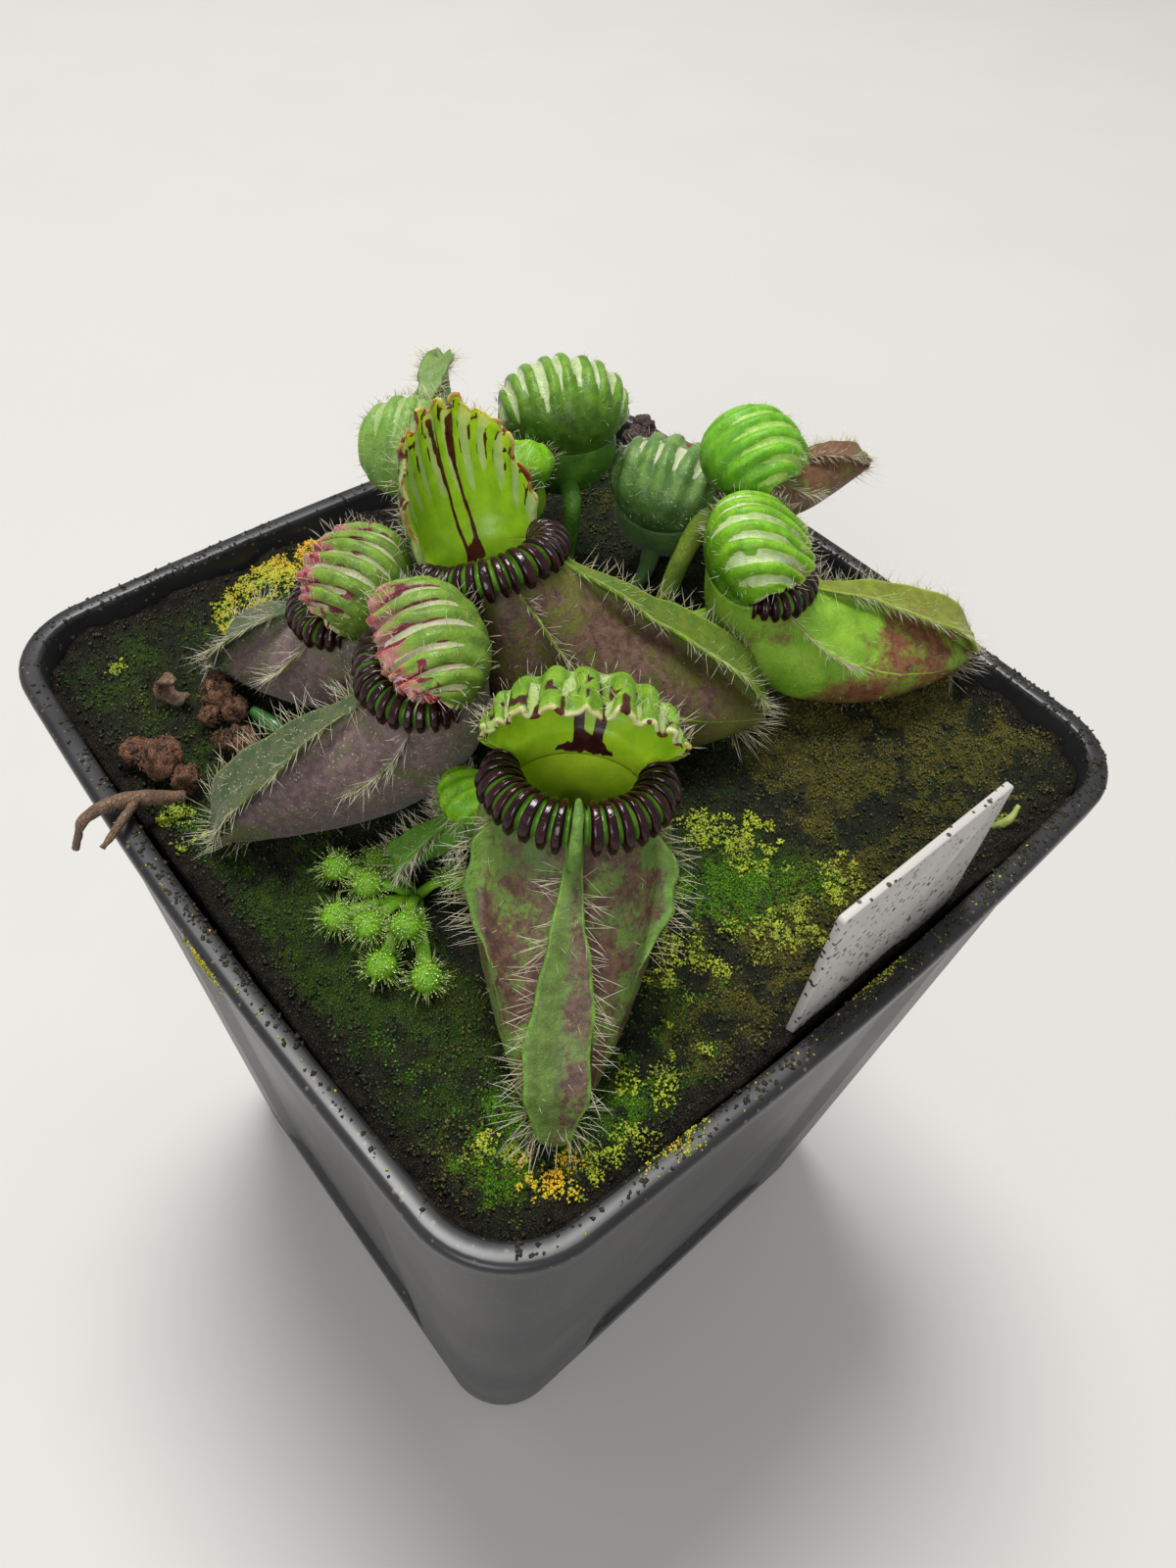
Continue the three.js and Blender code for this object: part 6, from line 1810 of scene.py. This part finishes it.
def add_curl(shell):
    steps, cols = 60, 9
    rows = []
    for i in np.linspace(0, 1, steps):
        angle = math.radians(mix(200, 480, i))
        radius = mix(1.7, 1, i)
        half = mix(1.1, 0.5, abs(7 * i - 3) / 4) * (1 + 0.15 * math.sin(17 * i))
        across = np.linspace(-half, half, cols)
        cup = 0.12 * (across / half)**2
        for face in (0.3, -0.3):
            r = radius + face + cup * 0.8 + 0.05 * np.sin(9 * across + 20 * i)
            line = np.stack([across, r * math.cos(angle), 2.5 + r * math.sin(angle)], -1)
            rows.append(line if face > 0 else line[::-1])
    ring = np.array(rows).reshape(steps, 2 * cols, 3)
    points = np.vstack([ring.reshape(-1, 3), ring[0].mean(0), ring[-1].mean(0)])
    points = points @ spin("z", 25).T + np.array([-32.4, 27.4, SOIL_TOP])
    shell.add(points, outward(points, skin_faces(steps, 2 * cols)))


# Stage, in metres and watts: each light's place, size, power and colour
FLOOR_HALF = 3.0
SKY_STRENGTH = 0.42
LIGHT_TARGET = (0, 0, 0.1)
LIGHTS = [("key", (0.2, 0.5, 1.7), 0.7, 34.0, (1.0, 0.99, 0.965)),
          ("fill", (-1.1, -0.7, 1.0), 0.8, 12.0, (0.98, 0.99, 1.0))]


class BuildStage(bpy.types.Operator):
    """Sets the pale floor, the soft lights and the camera"""
    bl_idname = "pitcher_plant.build_stage"
    bl_label = "Stage"

    def execute(self, context):
        settings = context.scene.pitcher_plant_stage
        floor_mesh = bpy.data.meshes.new("floor")
        corners = [(FLOOR_HALF * x, FLOOR_HALF * y, 0) for x, y in ((-1, -1), (1, -1), (1, 1), (-1, 1))]
        floor_mesh.from_pydata(corners, [], [(0, 1, 2, 3)])
        floor = bpy.data.objects.new("floor", floor_mesh)
        context.scene.collection.objects.link(floor)
        material = painted("Floor", (settings.floor, tuple(0.98 * c for c in settings.floor), 3, 0.3),
                           rough=(0.6, 0.7), rough_scale=20, relief=None)
        floor_mesh.materials.append(material)
        world = bpy.data.worlds.new("Studio")
        world.use_nodes = True
        background = world.node_tree.nodes["Background"]
        background.inputs["Color"].default_value = (1.0, 1.0, 1.0, 1)
        background.inputs["Strength"].default_value = SKY_STRENGTH * settings.light
        context.scene.world = world
        context.scene.view_settings.view_transform = "Standard"
        for name, place, size, power, colour in LIGHTS:
            add_light(name, place, size, power * settings.light, colour)
        add_camera(context)
        return {"FINISHED"}


def add_light(name, place, size, power, colour):
    data = bpy.data.lights.new(name, "AREA")
    data.shape = "DISK"
    data.size = size
    data.energy = power
    data.color = colour
    light = bpy.data.objects.new(name, data)
    light.location = place
    way = Vector(LIGHT_TARGET) - Vector(place)
    light.rotation_euler = way.to_track_quat("-Z", "Y").to_euler()
    bpy.context.scene.collection.objects.link(light)


CAMERA_AT = (-0.0622, -0.0652, 0.1922)
CAMERA_TARGET = (0.00313, 0.00001, 0.1)
CAMERA_ROLL = 6.02
CAMERA_LENS = 36.24
CAMERA_SHIFT = -0.0625


def add_camera(context):
    data = bpy.data.cameras.new("camera")
    data.sensor_fit = "VERTICAL"
    data.sensor_width = 36
    data.sensor_height = 48
    data.lens = CAMERA_LENS
    data.shift_y = CAMERA_SHIFT
    data.clip_start = 0.005
    camera = bpy.data.objects.new("camera", data)
    ahead = (Vector(CAMERA_TARGET) - Vector(CAMERA_AT)).normalized()
    right = ahead.cross(Vector((0, 0, 1))).normalized()
    up = right.cross(ahead)
    c, s = math.cos(math.radians(CAMERA_ROLL)), math.sin(math.radians(CAMERA_ROLL))
    right, up = right * c + up * s, up * c - right * s
    turn = Matrix((right, up, -ahead)).transposed()
    camera.matrix_world = Matrix.Translation(CAMERA_AT) @ turn.to_4x4()
    context.scene.collection.objects.link(camera)
    context.scene.camera = camera


class PitcherPlantPanel(bpy.types.Panel):
    """Lists the pieces of the plant"""
    bl_idname = "VIEW3D_PT_pitcher_plant"
    bl_label = "Pitcher Plant"
    bl_space_type = "VIEW_3D"
    bl_region_type = "UI"
    bl_category = "Pitcher Plant"

    def draw(self, context):
        for operator in OPERATORS:
            self.layout.operator(operator.bl_idname)
        for key in SETTINGS:
            box = self.layout.box()
            group = getattr(context.scene, key)
            for name in group.__annotations__:
                box.prop(group, name)


SETTINGS = {
    "pitcher_plant_leaves": PlantSettings,
    "pitcher_plant_pot": PotSettings,
    "pitcher_plant_moss": MossSettings,
    "pitcher_plant_stage": StageSettings,
}
OPERATORS = [BuildPot, BuildSoil, BuildMoss, BuildLabel, BuildOpenPitchers, BuildYoungPitchers, BuildSundew,
             BuildCrumbs, BuildDryRemains, BuildStage]


def register():
    for item in [*SETTINGS.values(), *OPERATORS, PitcherPlantPanel]:
        bpy.utils.register_class(item)
    for key, group in SETTINGS.items():
        setattr(bpy.types.Scene, key, bpy.props.PointerProperty(type=group))


def unregister():
    for key in SETTINGS:
        delattr(bpy.types.Scene, key)
    for item in reversed([*SETTINGS.values(), *OPERATORS, PitcherPlantPanel]):
        bpy.utils.unregister_class(item)


def main():
    register()
    for operator in OPERATORS:
        group, name = operator.bl_idname.split(".")
        getattr(getattr(bpy.ops, group), name)()


if __name__ == "__main__":
    main()
